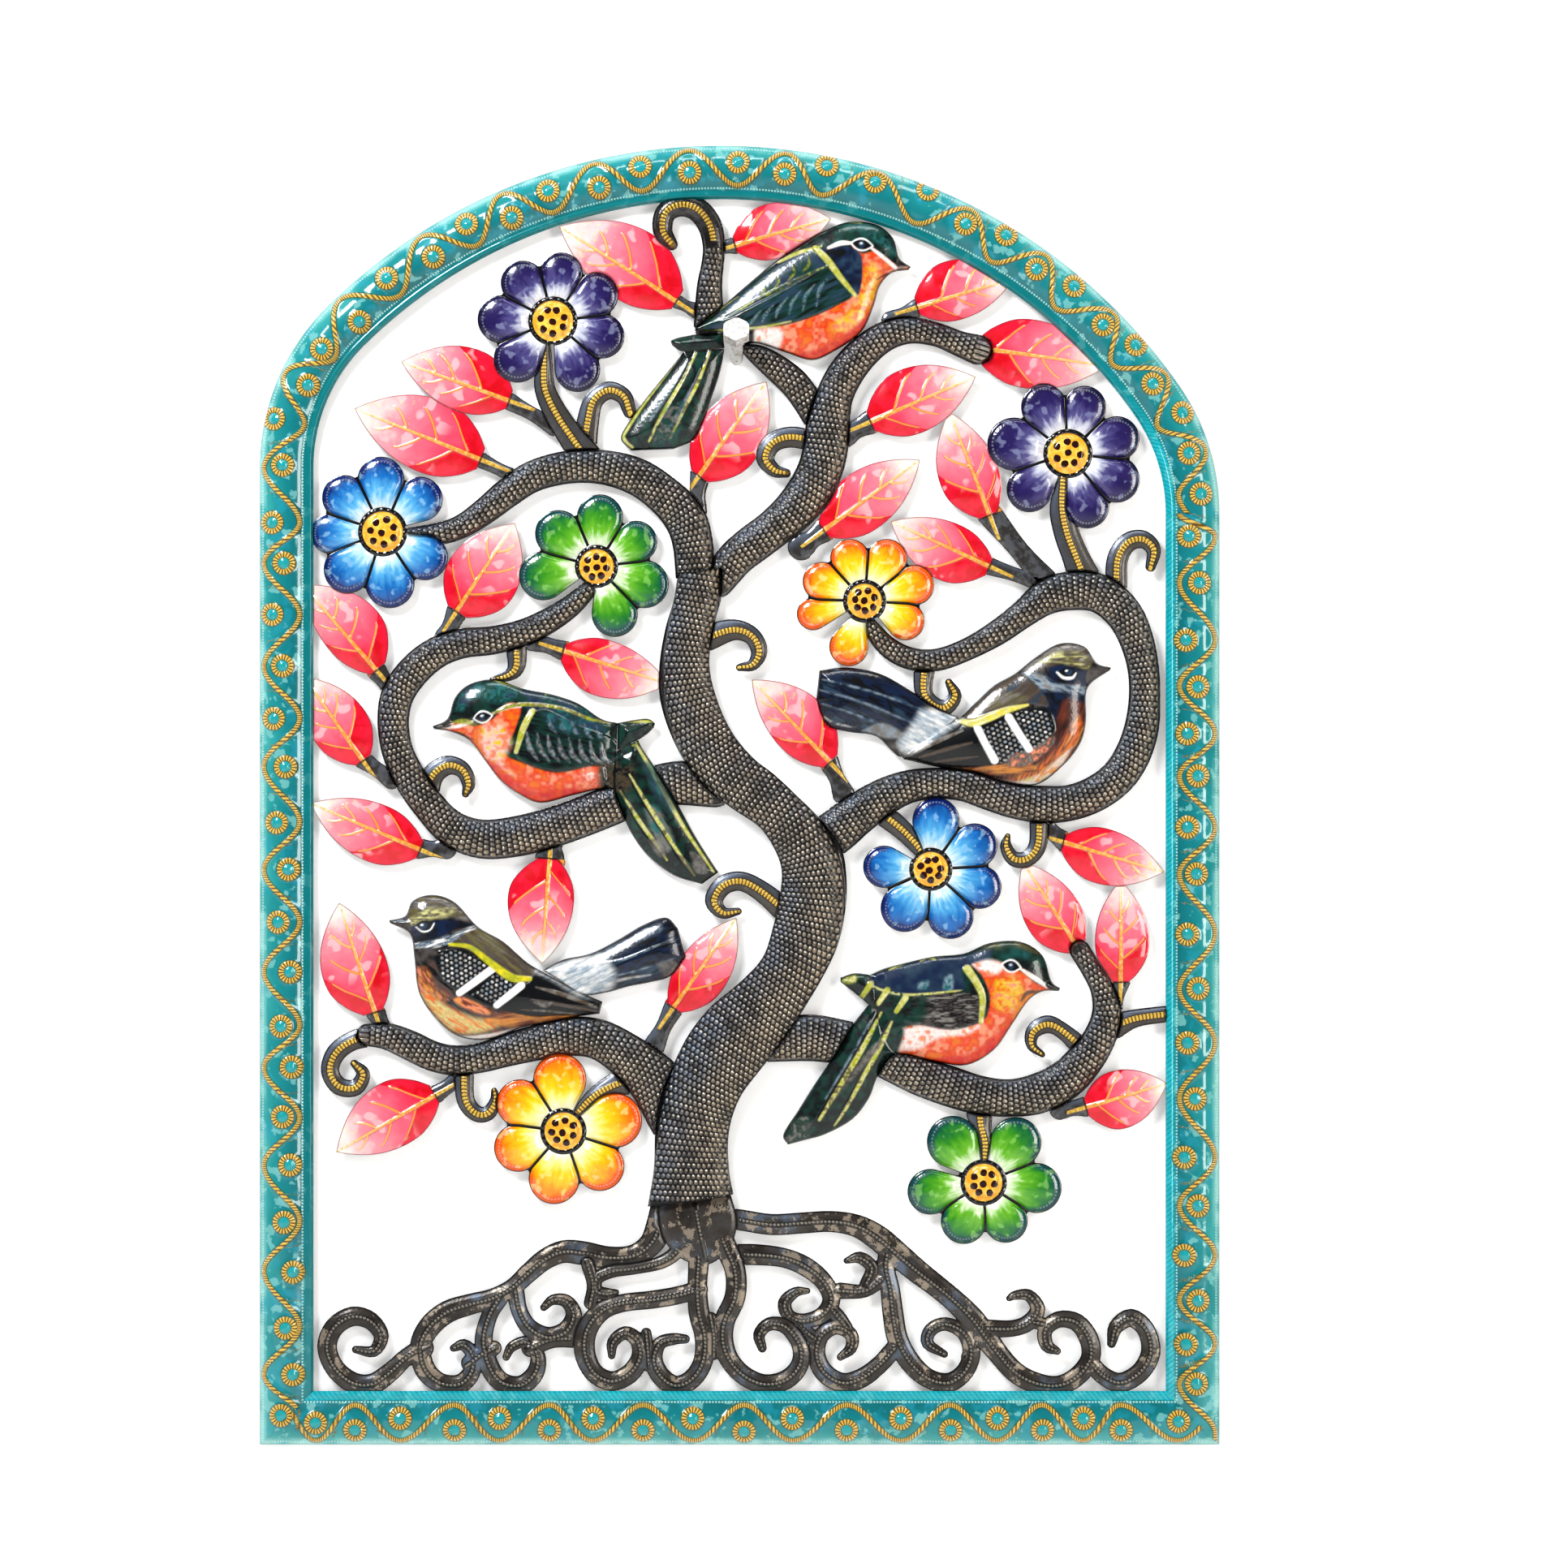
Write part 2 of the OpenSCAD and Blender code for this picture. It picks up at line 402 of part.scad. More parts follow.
// Leaf: half width along it, and where.
leaf_at = [0, 0.1, 0.25, 0.42, 0.6, 0.76, 0.9, 1];
leaf_width = [0.32, 0.64, 0.93, 1, 0.9, 0.66, 0.32, 0.03];
leaf_rise = 4;
function leaf_form(l) =
    let (base_pt = l[3], along = l[4] - l[3], side = turned(unit(along)))
    [[for (k = [0:7]) base_pt + along * leaf_at[k] + side * l[5] * leaf_width[k]],
     [for (k = [0:7]) base_pt + along * leaf_at[k] - side * l[6] * leaf_width[k]],
     [for (w = leaf_width) leaf_rise * w]];
function leaf_stem(l) =
    stroke_form([[l[1][0], l[1][1], l[2]], [l[3][0], l[3][1], l[2] * 0.8]], 2);

// Petal: a drop, straight from the middle of the flower and round at its end.
petal_rise = 4;
function petal_form(f, p) =
    let (a = p[0], half = p[1], reach = p[2], s = sin(half), far = reach / (1 + s),
         round_r = reach - far, straight = far * cos(half) * cos(half),
         at = [f[2], mix(f[2], straight, 0.6), straight, far + 0.55 * round_r,
               far + 0.9 * round_r, reach - 0.05],
         half_w = [for (u = at) u <= straight ? u * tan(half)
                                              : sqrt(round_r * round_r - pow(u - far, 2))],
         along = [cos(a), sin(a)])
    [[for (k = [0:5]) f[1] + along * at[k] + turned(along) * half_w[k]],
     [for (k = [0:5]) f[1] + along * at[k] - turned(along) * half_w[k]],
     [for (k = [0:5]) petal_rise * half_w[k] / half_w[2]]];
function circle_points(c, r) = [for (k = [0:23]) c + r * [cos(15 * k), sin(15 * k)]];

limb_forms = [for (l = limbs) stroke_form(l[1], 7)];
top_forms = [for (s = top_limb) stroke_form(s, 5)];
stem_forms = [for (s = flower_stems) stroke_form(s, 3)];
function tendril_forms(g) = [for (s = tendrils[g][1]) stroke_form(s, 3)];

// Outlines that cut their neighbours, nearest to the eye first.
flower_outlines = [for (f = flowers) each concat([circle_points(f[1], f[2] + 0.2)],
    [for (p = f[3]) outline(petal_form(f, p))])];
bird_outlines = [for (b = birds) each [for (form = b[1]) outline(form)]];
limb_outlines = [for (form = limb_forms) outline(form)];
top_outlines = [for (form = top_forms) outline(form)];
stem_outlines = [for (form = stem_forms) outline(form)];
tendril_outlines = [for (g = [0:2]) each [for (form = tendril_forms(g)) outline(form)]];
leaf_outlines = [for (l = leaves) outline(leaf_form(l))];
leaf_stem_outlines = [for (l = leaves) outline(leaf_stem(l))];
wood_outlines = concat([outline(trunk_form)], limb_outlines, top_outlines);

// ---- pieces ----------------------------------------------------------------------------
module inside_border() intersection() {
    children();
    prism(opening);
}

// Where the slanting screw passes, with room for the panel to swing on it.
module screw_way() translate([hook[0], 0, hook[1]]) rotate([90 - slant, 0, 0])
    cylinder(h = 60, r = shank_r + clearance, $fn = 48);

module strips(forms, others, across = 4)
    placed() inside_border()
        union() for (form = forms) cut_by(outline(form), others) hammered(form, across);

module arc_of_border(c, r, from, to)
    translate([c[0], 0, c[1]]) rotate([90, 0, 0]) rotate([0, 0, from])
        rotate_extrude(angle = to - from, $fn = 120)
            polygon([for (p = outline(stroke_form(border_section, 0))) [r - p[0], p[1]]]);

module arch_border() color("darkcyan") placed() {
    arc_of_border(left_centre, shoulder_r, left_turn, 180);
    arc_of_border(crown_centre, crown_r, right_turn, left_turn);
    arc_of_border(right_centre, shoulder_r, 0, right_turn);
}

// Straight length of border along Z, its outer edge on x = 0 and the border towards +X.
module border_length(from, to) translate([0, 0, from]) linear_extrude(to - from)
    polygon([for (p = outline(stroke_form(border_section, 0))) [p[0], -p[1]]]);

// Cuts the border at 45 degrees from a corner of its outline.
beyond = border_w + 10;
module mitre() prism([[-1, -1], [beyond, -1], [beyond, beyond]]);
module end_mitre() prism([[0, 0], [-10, -10], [-10, beyond], [beyond, beyond]]);

module left_border() color("darkcyan") placed() translate([-left_edge, 0, bottom_edge])
    difference() {
        border_length(0, left_centre[1] - bottom_edge);
        mitre();
    }

module right_border() color("darkcyan") placed() translate([right_edge, 0, bottom_edge])
    mirror([1, 0, 0]) difference() {
        border_length(0, right_centre[1] - bottom_edge);
        mitre();
    }

module bottom_border() color("darkcyan") placed() translate([-left_edge, 0, bottom_edge])
    difference() {
        rotate([0, -90, 0]) mirror([0, 0, 1]) border_length(0, left_edge + right_edge);
        end_mitre();
        translate([left_edge + right_edge, 0, 0]) mirror([1, 0, 0]) end_mitre();
    }

module hanging_screw() color("white") placed() translate([hook[0], 0, hook[1]])
    rotate([90 - slant, 0, 0]) {
        point_l = 6;
        thread_from = 2;
        thread_pitch = 2.3;
        turns = 10;
        core_r = shank_r - 0.8;
        translate([0, 0, -wall_length]) cylinder(h = point_l, r1 = 0.8, r2 = shank_r, $fn = 48);
        translate([0, 0, point_l - wall_length])
            cylinder(h = wall_length - point_l + thread_from, r = shank_r, $fn = 48);
        rotate_extrude($fn = 48) polygon(concat(
            [[0, thread_from]],
            [for (k = [0:turns - 1], half = [0, 1])
                [half == 0 ? shank_r : core_r, thread_from + (k + half / 2) * thread_pitch]],
            [[shank_r, thread_from + turns * thread_pitch],
             [shank_r, head_out], [0, head_out]]));
        translate([0, 0, head_out - head_t / 2]) intersection() {
            rotate([0, 0, 30]) cylinder(h = head_t, r = head_flats / 2 / cos(30), $fn = 6);
            cylinder(h = head_t, r1 = head_flats / 2 + 4, r2 = head_flats / 2 + 0.4, $fn = 48);
        }
    }

module trunk() color("dimgray") strips([trunk_form], bird_outlines, 6);

module limb(k) color("dimgray")
    strips([limb_forms[k]],
        concat([outline(trunk_form)], flower_outlines, bird_outlines,
            [for (j = [0:len(limbs) - 1]) if (j < k) limb_outlines[j]]));

module limb_top() color("dimgray")
    strips(top_forms, concat(flower_outlines, bird_outlines, limb_outlines));

module stems() color("dimgray")
    strips(stem_forms, concat(flower_outlines, bird_outlines, wood_outlines), 3);

module tendril_group(g) color("dimgray")
    strips(tendril_forms(g),
        concat(flower_outlines, bird_outlines, wood_outlines, stem_outlines), 3);

module leaf(k) {
    over = concat(flower_outlines, bird_outlines, wood_outlines, stem_outlines, tendril_outlines);
    earlier = [for (j = [0:len(leaves) - 1]) if (j < k) j];
    color("salmon")
        strips([leaf_form(leaves[k])], concat(over, [for (j = earlier) leaf_outlines[j]]));
    color("dimgray")
        strips([leaf_stem(leaves[k])],
            concat(over, leaf_outlines, [for (j = earlier) leaf_stem_outlines[j]]), 3);
}

module flower(k) {
    f = flowers[k];
    paints = ["slateblue", "slateblue", "steelblue", "seagreen", "gold", "steelblue", "gold",
        "seagreen"];
    color(paints[k]) strips([for (p = f[3]) petal_form(f, p)], [], 3);
    // The eye: a round button, flat on top.
    color("orange") placed() translate([f[1][0], -stand_off, f[1][1]]) rotate([90, 0, 0])
        difference() {
            cylinder(h = sheet_t + 3, r1 = f[2] - 0.3, r2 = f[2] - 4, $fn = 48);
            translate([0, 0, -1])
                cylinder(h = 4, r1 = f[2] - 0.3, r2 = f[2] - 5.2, $fn = 48);
        }
}

module bird(k) {
    paints = ["darkslategray", "darkslategray", "darkslategray", "tan", "tan"];
    forms = birds[k][1];
    color(paints[k]) difference() {
        for (j = [0:len(forms) - 1])
            strips([forms[j]],
                concat(flower_outlines,
                    [for (i = [0:len(forms) - 1]) if (i < j) grown(outline(forms[i]), seam)]));
        if (k == 0) placed() screw_way();
    }
}

module root(g) color("darkgray") placed() inside_border()
    difference() {
        translate([0, -stand_off, 0]) rotate([90, 0, 0]) linear_extrude(sheet_t)
            for (s = roots[g][1]) polygon(outline(stroke_form(s, 0)));
        prism(outline(trunk_form));
        if (g != 1) translate([0, -stand_off, 0]) rotate([90, 0, 0]) linear_extrude(sheet_t)
            for (s = roots[1][1]) polygon(outline(stroke_form(s, 0)));
    }

// ---- nodes -----------------------------------------------------------------------------
function names(list) = [for (item = list) item[0]];

hanging_screw();
arch_border();
left_border();
right_border();
bottom_border();
trunk();
limb_top();
stems();  // flower_stems
for (k = [0:len(limbs) - 1]) limb(k);
for (k = [0:len(tendrils) - 1]) tendril_group(k);
for (k = [0:len(leaves) - 1]) leaf(k);
for (k = [0:len(flowers) - 1]) flower(k);
for (k = [0:len(birds) - 1]) bird(k);
for (k = [0:len(roots) - 1]) root(k);
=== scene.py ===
"""Looks of the tree-of-life wall panel: hammered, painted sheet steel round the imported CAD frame."""

import math

import bpy
import numpy as np
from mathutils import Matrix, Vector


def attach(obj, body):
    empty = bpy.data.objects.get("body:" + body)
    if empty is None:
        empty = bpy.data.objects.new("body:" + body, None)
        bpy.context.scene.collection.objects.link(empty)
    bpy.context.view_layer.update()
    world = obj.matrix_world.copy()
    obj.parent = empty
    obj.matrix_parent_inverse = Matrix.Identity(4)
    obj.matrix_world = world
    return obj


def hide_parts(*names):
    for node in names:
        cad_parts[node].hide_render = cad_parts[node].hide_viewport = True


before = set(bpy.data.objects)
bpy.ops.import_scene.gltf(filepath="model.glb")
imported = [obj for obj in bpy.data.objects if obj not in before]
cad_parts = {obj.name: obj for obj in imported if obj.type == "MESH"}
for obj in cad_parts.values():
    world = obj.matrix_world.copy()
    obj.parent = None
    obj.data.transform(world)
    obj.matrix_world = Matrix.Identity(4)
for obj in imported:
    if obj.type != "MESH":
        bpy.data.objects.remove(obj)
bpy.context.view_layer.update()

# ---- sizes, in millimetres ---------------------------------------------------------------
MM = 0.001
FAR = 1e9
NOWHERE = 99.0  # a distance at which nothing shows
BEYOND_SPAN = 3.0  # handicap of a ribbon's span at points that lie past its ends
STAND_OFF = 5.0  # from the wall to the back of the flat sheet
SHEET = 1.2
HOOK = np.array([-3.0, 724.0])  # row frame's origin, in panel coordinates
CELL = 0.7  # grid of the hammered pieces
FINE = 0.6  # grid of the birds

# ---- the drawing: panel coordinates, [x, z] from the middle of the bottom edge -----------
# Trunk: left edge and right edge, from the root collar to the fork.
TRUNK_FORM = [
    [[-62, 160], [-58, 185], [-57, 210], [-54, 232], [-46, 252], [-35, 274], [-20, 293], [-2, 308],
        [14, 325], [21, 345], [26, 368], [26, 388], [14, 410], [-4, 423], [-22, 436], [-36, 453], [-47, 474],
        [-54, 498], [-54, 522], [-50, 545], [-45, 562], [-42, 580]],
    [[-5, 168], [-8, 185], [-8, 210], [-1, 232], [12, 250], [28, 270], [42, 292], [54, 312], [64, 333],
        [69, 355], [70, 378], [66, 400], [52, 418], [38, 432], [22, 447], [8, 458], [-6, 475], [-16, 497],
        [-21, 520], [-18, 545], [-13, 565], [-12, 584]],
]
# Limbs: [name, [[x, z, width], ...]] along the middle, from the trunk outwards.
LIMBS = [
    ["limb_upper_left", [[-30, 572, 26], [-32, 600, 27], [-38, 618, 28], [-52, 633, 26], [-70, 645, 25],
        [-92, 651, 23], [-115, 651, 22], [-138, 645, 21], [-155, 634, 20], [-170, 622, 18], [-185, 612, 16],
        [-200, 607, 15], [-226, 604, 12]]],
    ["limb_upper_right", [[-16, 576, 24], [-3, 591, 25], [8, 600, 26], [20, 609, 26], [33, 620, 28],
        [44, 633, 30], [52, 648, 30], [56, 663, 30], [58, 681, 29], [62, 698, 25], [70, 714, 24],
        [82, 728, 22], [96, 738, 20], [112, 742, 18], [130, 739, 16], [145, 733, 17], [157, 729, 20]]],
    ["limb_mid_left", [[-18, 441, 32], [-45, 441, 29], [-65, 436, 28], [-85, 427, 27], [-105, 419, 27],
        [-125, 412, 27], [-148, 406, 27], [-172, 404, 26], [-192, 411, 24], [-207, 426, 22], [-219, 443, 22],
        [-228, 462, 21], [-231, 482, 21], [-228, 500, 22], [-217, 516, 22], [-202, 528, 21], [-185, 534, 20],
        [-165, 536, 19], [-145, 541, 18], [-128, 549, 17], [-113, 559, 15], [-99, 572, 11]]],
    ["limb_mid_right", [[50, 400, 30], [63, 409, 30], [78, 421, 28], [95, 432, 25], [112, 439, 22],
        [130, 441, 21], [148, 440, 22], [165, 434, 22], [182, 429, 23], [200, 427, 25], [218, 428, 24],
        [235, 434, 24], [250, 445, 24], [260, 460, 24], [266, 478, 23], [268, 498, 21], [267, 518, 21],
        [262, 538, 23], [253, 555, 25], [238, 567, 26], [220, 569, 26], [203, 565, 24], [188, 554, 19],
        [170, 541, 17], [150, 530, 15], [130, 523, 15], [112, 524, 15], [97, 532, 14], [85, 546, 11]]],
    ["limb_lower_left", [[-40, 220, 44], [-58, 244, 36], [-76, 260, 30], [-95, 271, 27], [-115, 273, 26],
        [-135, 269, 24], [-155, 264, 22], [-172, 259, 20], [-190, 257, 20], [-205, 260, 20], [-220, 267, 20],
        [-235, 273, 18], [-248, 274, 15]]],
    ["limb_lower_right", [[18, 271, 30], [45, 272, 31], [62, 270, 30], [80, 266, 28], [100, 256, 26],
        [118, 247, 26], [138, 240, 27], [158, 234, 26], [178, 232, 25], [197, 235, 27], [215, 244, 27],
        [228, 257, 25], [238, 272, 22], [243, 288, 20], [240, 304, 16], [233, 317, 14], [225, 330, 14]]],
]
# The top limb passes behind the bird that sits on it, so it shows in two lengths.
TOP_LIMB = [
    [[52, 684, 22], [42, 698, 20], [34, 708, 20], [22, 718, 18], [12, 725, 14], [4, 729, 8]],
    [[-21, 745, 21], [-21, 770, 17], [-19, 785, 15], [-18, 798, 15], [-21, 812, 16], [-29, 822, 16],
        [-40, 825, 15], [-50, 820, 14], [-52, 808, 13], [-46, 799, 8]],
]
# Curled tendrils, in three groups by height.
TENDRILS = [
    ["tendrils_upper", [
        [[-105, 660, 18], [-102, 680, 15], [-98, 695, 13], [-88, 702, 12], [-78, 698, 11], [-74, 688, 9]],
        [[50, 668, 14], [33, 671, 14], [21, 667, 13], [16, 657, 12], [22, 649, 9], [30, 647, 6]],
        [[249, 572, 15], [250, 590, 14], [257, 601, 13], [267, 603, 12], [274, 596, 10], [272, 585, 7]],
        [[-22, 538, 18], [-5, 543, 14], [7, 539, 12], [12, 529, 11], [8, 520, 8], [-1, 518, 5]],
    ]],
    ["tendrils_middle", [
        [[32, 354, 17], [14, 369, 14], [0, 376, 13], [-12, 373, 13], [-18, 363, 12], [-12, 355, 8],
            [-2, 356, 5]],
        [[-210, 432, 18], [-205, 446, 15], [-195, 453, 13], [-185, 450, 11], [-181, 441, 9], [-183, 434, 5]],
        [[-150, 538, 15], [-149, 520, 12], [-154, 513, 8], [-165, 510, 4]],
        [[122, 520, 15], [121, 503, 12], [126, 494, 12], [135, 491, 11], [142, 499, 9], [138, 508, 5]],
        [[198, 418, 13], [197, 400, 12], [190, 391, 11], [181, 391, 10], [176, 399, 8], [177, 406, 4]],
    ]],
    ["tendrils_lower", [
        [[-243, 274, 15], [-258, 270, 13], [-269, 262, 13], [-273, 250, 12], [-267, 240, 12],
            [-256, 239, 11], [-251, 248, 9], [-257, 255, 5]],
        [[-184, 250, 13], [-183, 231, 12], [-176, 222, 11], [-168, 222, 10], [-163, 230, 8], [-164, 237, 4]],
        [[228, 264, 14], [213, 277, 11], [203, 281, 12], [194, 276, 10], [193, 267, 7], [200, 261, 4]],
        [[246, 279, 18], [262, 285, 12], [284, 288, 11]],
    ]],
]
# Stems that carry the flowers.
FLOWER_STEMS = [
    [[-131, 735, 9], [-131, 718, 12], [-130, 702, 14], [-122, 685, 16], [-112, 670, 18], [-102, 656, 22]],
    [[214, 648, 7], [213, 625, 16], [216, 608, 17], [222, 592, 18], [229, 575, 22]],
    [[88, 425, 16], [105, 412, 14], [115, 402, 12], [122, 393, 9]],
    [[-70, 246, 22], [-86, 240, 15], [-98, 233, 11], [-110, 221, 7]],
    [[158, 232, 22], [159, 215, 15], [162, 202, 11], [162, 185, 7]],
]
# Leaves: [name, foot of the stem, stem width, leaf base, leaf tip, width of the left half,
# width of the right half], looking from base to tip.
LEAVES = [
    ["leaf_01", [-30, 755], 11, [-43, 761], [-121, 811], 20, 29],
    ["leaf_02", [-16, 797], 13, [-4, 798], [60, 816], 21, 16],
    ["leaf_03", [100, 748], 14, [117, 757], [181, 776], 24, 16],
    ["leaf_04", [154, 730], 18, [157, 730], [243, 718], 24, 22],
    ["leaf_05", [68, 672], 18, [86, 681], [156, 711], 24, 20],
    ["leaf_06", [-30, 622], 15, [-28, 645], [17, 708], 21, 24],
    ["leaf_07", [205, 572], 18, [165, 619], [138, 688], 23, 17],
    ["leaf_08", [40, 598], 18, [55, 609], [119, 656], 20, 20],
    ["leaf_09", [200, 574], 13, [165, 585], [99, 615], 22, 17],
    ["leaf_10", [-124, 678], 13, [-154, 695], [-226, 721], 18, 25],
    ["leaf_11", [-148, 643], 12, [-173, 656], [-257, 690], 23, 27],
    ["leaf_12", [-197, 536], 16, [-189, 555], [-150, 614], 23, 26],
    ["leaf_13", [-230, 500], 15, [-242, 516], [-291, 573], 15, 26],
    ["leaf_14", [-232, 444], 14, [-251, 456], [-290, 512], 19, 20],
    ["leaf_15", [-196, 398], 15, [-213, 397], [-286, 428], 21, 18],
    ["leaf_16", [-127, 406], 22, [-127, 391], [-132, 321], 18, 26],
    ["leaf_17", [-138, 536], 15, [-118, 529], [-48, 507], 16, 22],
    ["leaf_18", [-234, 272], 15, [-243, 289], [-267, 362], 26, 18],
    ["leaf_19", [-186, 246], 14, [-203, 234], [-269, 196], 19, 25],
    ["leaf_20", [-58, 266], 15, [-45, 292], [-3, 352], 15, 20],
    ["leaf_21", [68, 434], 15, [59, 455], [7, 510], 17, 23],
    ["leaf_22", [200, 415], 15, [214, 402], [281, 382], 17, 20],
    ["leaf_23", [226, 328], 14, [224, 331], [187, 389], 21, 17],
    ["leaf_24", [246, 290], 15, [252, 309], [252, 377], 17, 19],
    ["leaf_25", [212, 225], 15, [229, 226], [283, 242], 18, 21],
]
# Flowers: [name, centre, radius of the eye, petals as [direction, half angle, reach]].
FLOWERS = [
    ["flower_purple_left", [-125, 748], 15, [[178, 28, 50], [128, 27, 47], [80, 27, 46], [31, 27, 48],
        [343, 26, 49], [297, 25, 51], [227, 28, 50]]],
    ["flower_purple_right", [217, 660], 15, [[117, 26, 50], [70, 26, 47], [17, 26, 49], [332, 25, 52],
        [290, 23, 52], [223, 26, 50], [170, 29, 54]]],
    ["flower_blue_left", [-238, 608], 15, [[92, 27, 50], [41, 27, 48], [329, 28, 48], [278, 28, 51],
        [227, 28, 50], [182, 23, 48], [138, 26, 49]]],
    ["flower_green_left", [-96, 585], 13, [[86, 28, 48], [32, 27, 45], [340, 28, 50], [291, 27, 49],
        [190, 27, 52], [139, 28, 49]]],
    ["flower_yellow_middle", [82, 562], 13, [[109, 26, 43], [62, 26, 45], [18, 23, 48], [334, 25, 43],
        [251, 24, 45], [194, 18, 46], [155, 25, 44]]],
    ["flower_blue_right", [126, 384], 13, [[84, 29, 48], [28, 27, 48], [340, 25, 49], [293, 27, 49],
        [236, 31, 47], [177, 27, 45]]],
    ["flower_yellow_low", [-118, 210], 14, [[94, 31, 52], [12, 32, 53], [316, 29, 50], [259, 32, 49],
        [200, 30, 48], [147, 28, 50]]],
    ["flower_green_right", [161, 176], 14, [[127, 31, 51], [190, 25, 51], [243, 32, 44], [300, 30, 44],
        [354, 28, 52], [51, 30, 51]]],
]
# Birds: [name, body, then wing tips and tail], each form an upper edge and a lower edge, from
# the beak backwards.
BIRDS = [
    ["bird_top", [
        [[[113, 784], [105, 790], [101, 803], [90, 812], [72, 814], [55, 808], [40, 799], [22, 787],
            [5, 773], [-10, 760], [-22, 751], [-31, 744]], [[111, 782], [100, 780], [92, 771], [88, 758],
            [80, 741], [62, 728], [47, 722], [30, 727], [12, 733], [0, 733], [-12, 740], [-30, 741]]],
        [[[-12, 740], [-30, 739], [-42, 737], [-47, 735]], [[-11, 730], [-28, 728], [-40, 728], [-46, 732]]],
        [[[-38, 727.5], [-50, 713], [-63, 697], [-74, 682], [-80, 670], [-73, 662]], [[-11, 729.5],
            [-14, 714], [-20, 696], [-25, 682], [-32, 669], [-45, 663]]],
    ]],
    ["bird_middle_left", [
        [[[-205, 479], [-195, 484], [-190, 498], [-180, 507], [-163, 510], [-145, 504], [-125, 500],
            [-108, 494], [-93, 484], [-82, 481]], [[-204, 477], [-192, 475], [-180, 469], [-170, 456],
            [-160, 443], [-148, 434], [-133, 428], [-112, 433], [-95, 437], [-84, 437]]],
        [[[-82, 481], [-72, 483], [-62, 484], [-57, 481]], [[-82, 463], [-68, 470], [-62, 474], [-58, 478]]],
        [[[-69, 472], [-66, 465], [-56, 450], [-43, 429], [-31, 407], [-19, 388], [-15, 382]], [[-84, 461],
            [-84, 437], [-80, 424], [-73, 408], [-62, 393], [-45, 380], [-26, 374]]],
    ]],
    ["bird_lower_right", [
        [[[212, 305], [206, 310], [200, 327], [185, 336], [165, 335], [148, 328], [128, 326], [110, 322],
            [95, 318], [86, 314]], [[211, 303], [201, 303], [191, 297], [180, 281], [168, 264], [150, 254],
            [130, 256], [113, 260], [100, 263], [92, 275]]],
        [[[90, 313], [76, 315], [66, 312]], [[90, 290], [76, 301], [66, 309]]],
        [[[86, 296], [72, 278], [60, 258], [48, 240], [38, 224], [28, 208], [31, 201]], [[103, 262],
            [97, 256], [90, 245], [85, 232], [74, 218], [56, 208], [42, 204]]],
    ]],
    ["bird_lower_left", [
        [[[-234, 350], [-223, 353], [-218, 363], [-205, 367], [-190, 362], [-175, 346], [-158, 336],
            [-142, 322], [-128, 314], [-110, 304], [-92, 296]], [[-233, 348], [-220, 341], [-217, 325],
            [-214, 302], [-203, 285], [-188, 273], [-168, 271], [-145, 279], [-125, 283], [-110, 286],
            [-94, 288]]],
        [[[-132, 317], [-118, 324], [-100, 328], [-82, 337], [-65, 347], [-50, 352], [-42, 345]],
            [[-122, 311], [-106, 301], [-90, 302], [-75, 306], [-60, 309], [-47, 313], [-37, 326]]],
    ]],
    ["bird_middle_right", [
        [[[246, 518], [236, 521], [228, 532], [212, 534], [196, 525], [182, 514], [168, 506], [155, 494],
            [144, 484], [125, 475], [105, 461]], [[245, 516], [233, 508], [229, 500], [229, 482], [225, 467],
            [213, 452], [196, 440], [175, 442], [155, 448], [130, 452], [108, 457]]],
        [[[145, 485], [130, 491], [112, 503], [92, 514], [70, 518], [52, 516]], [[132, 474], [108, 458],
            [90, 472], [72, 475], [57, 480], [50, 497]]],
    ]],
]
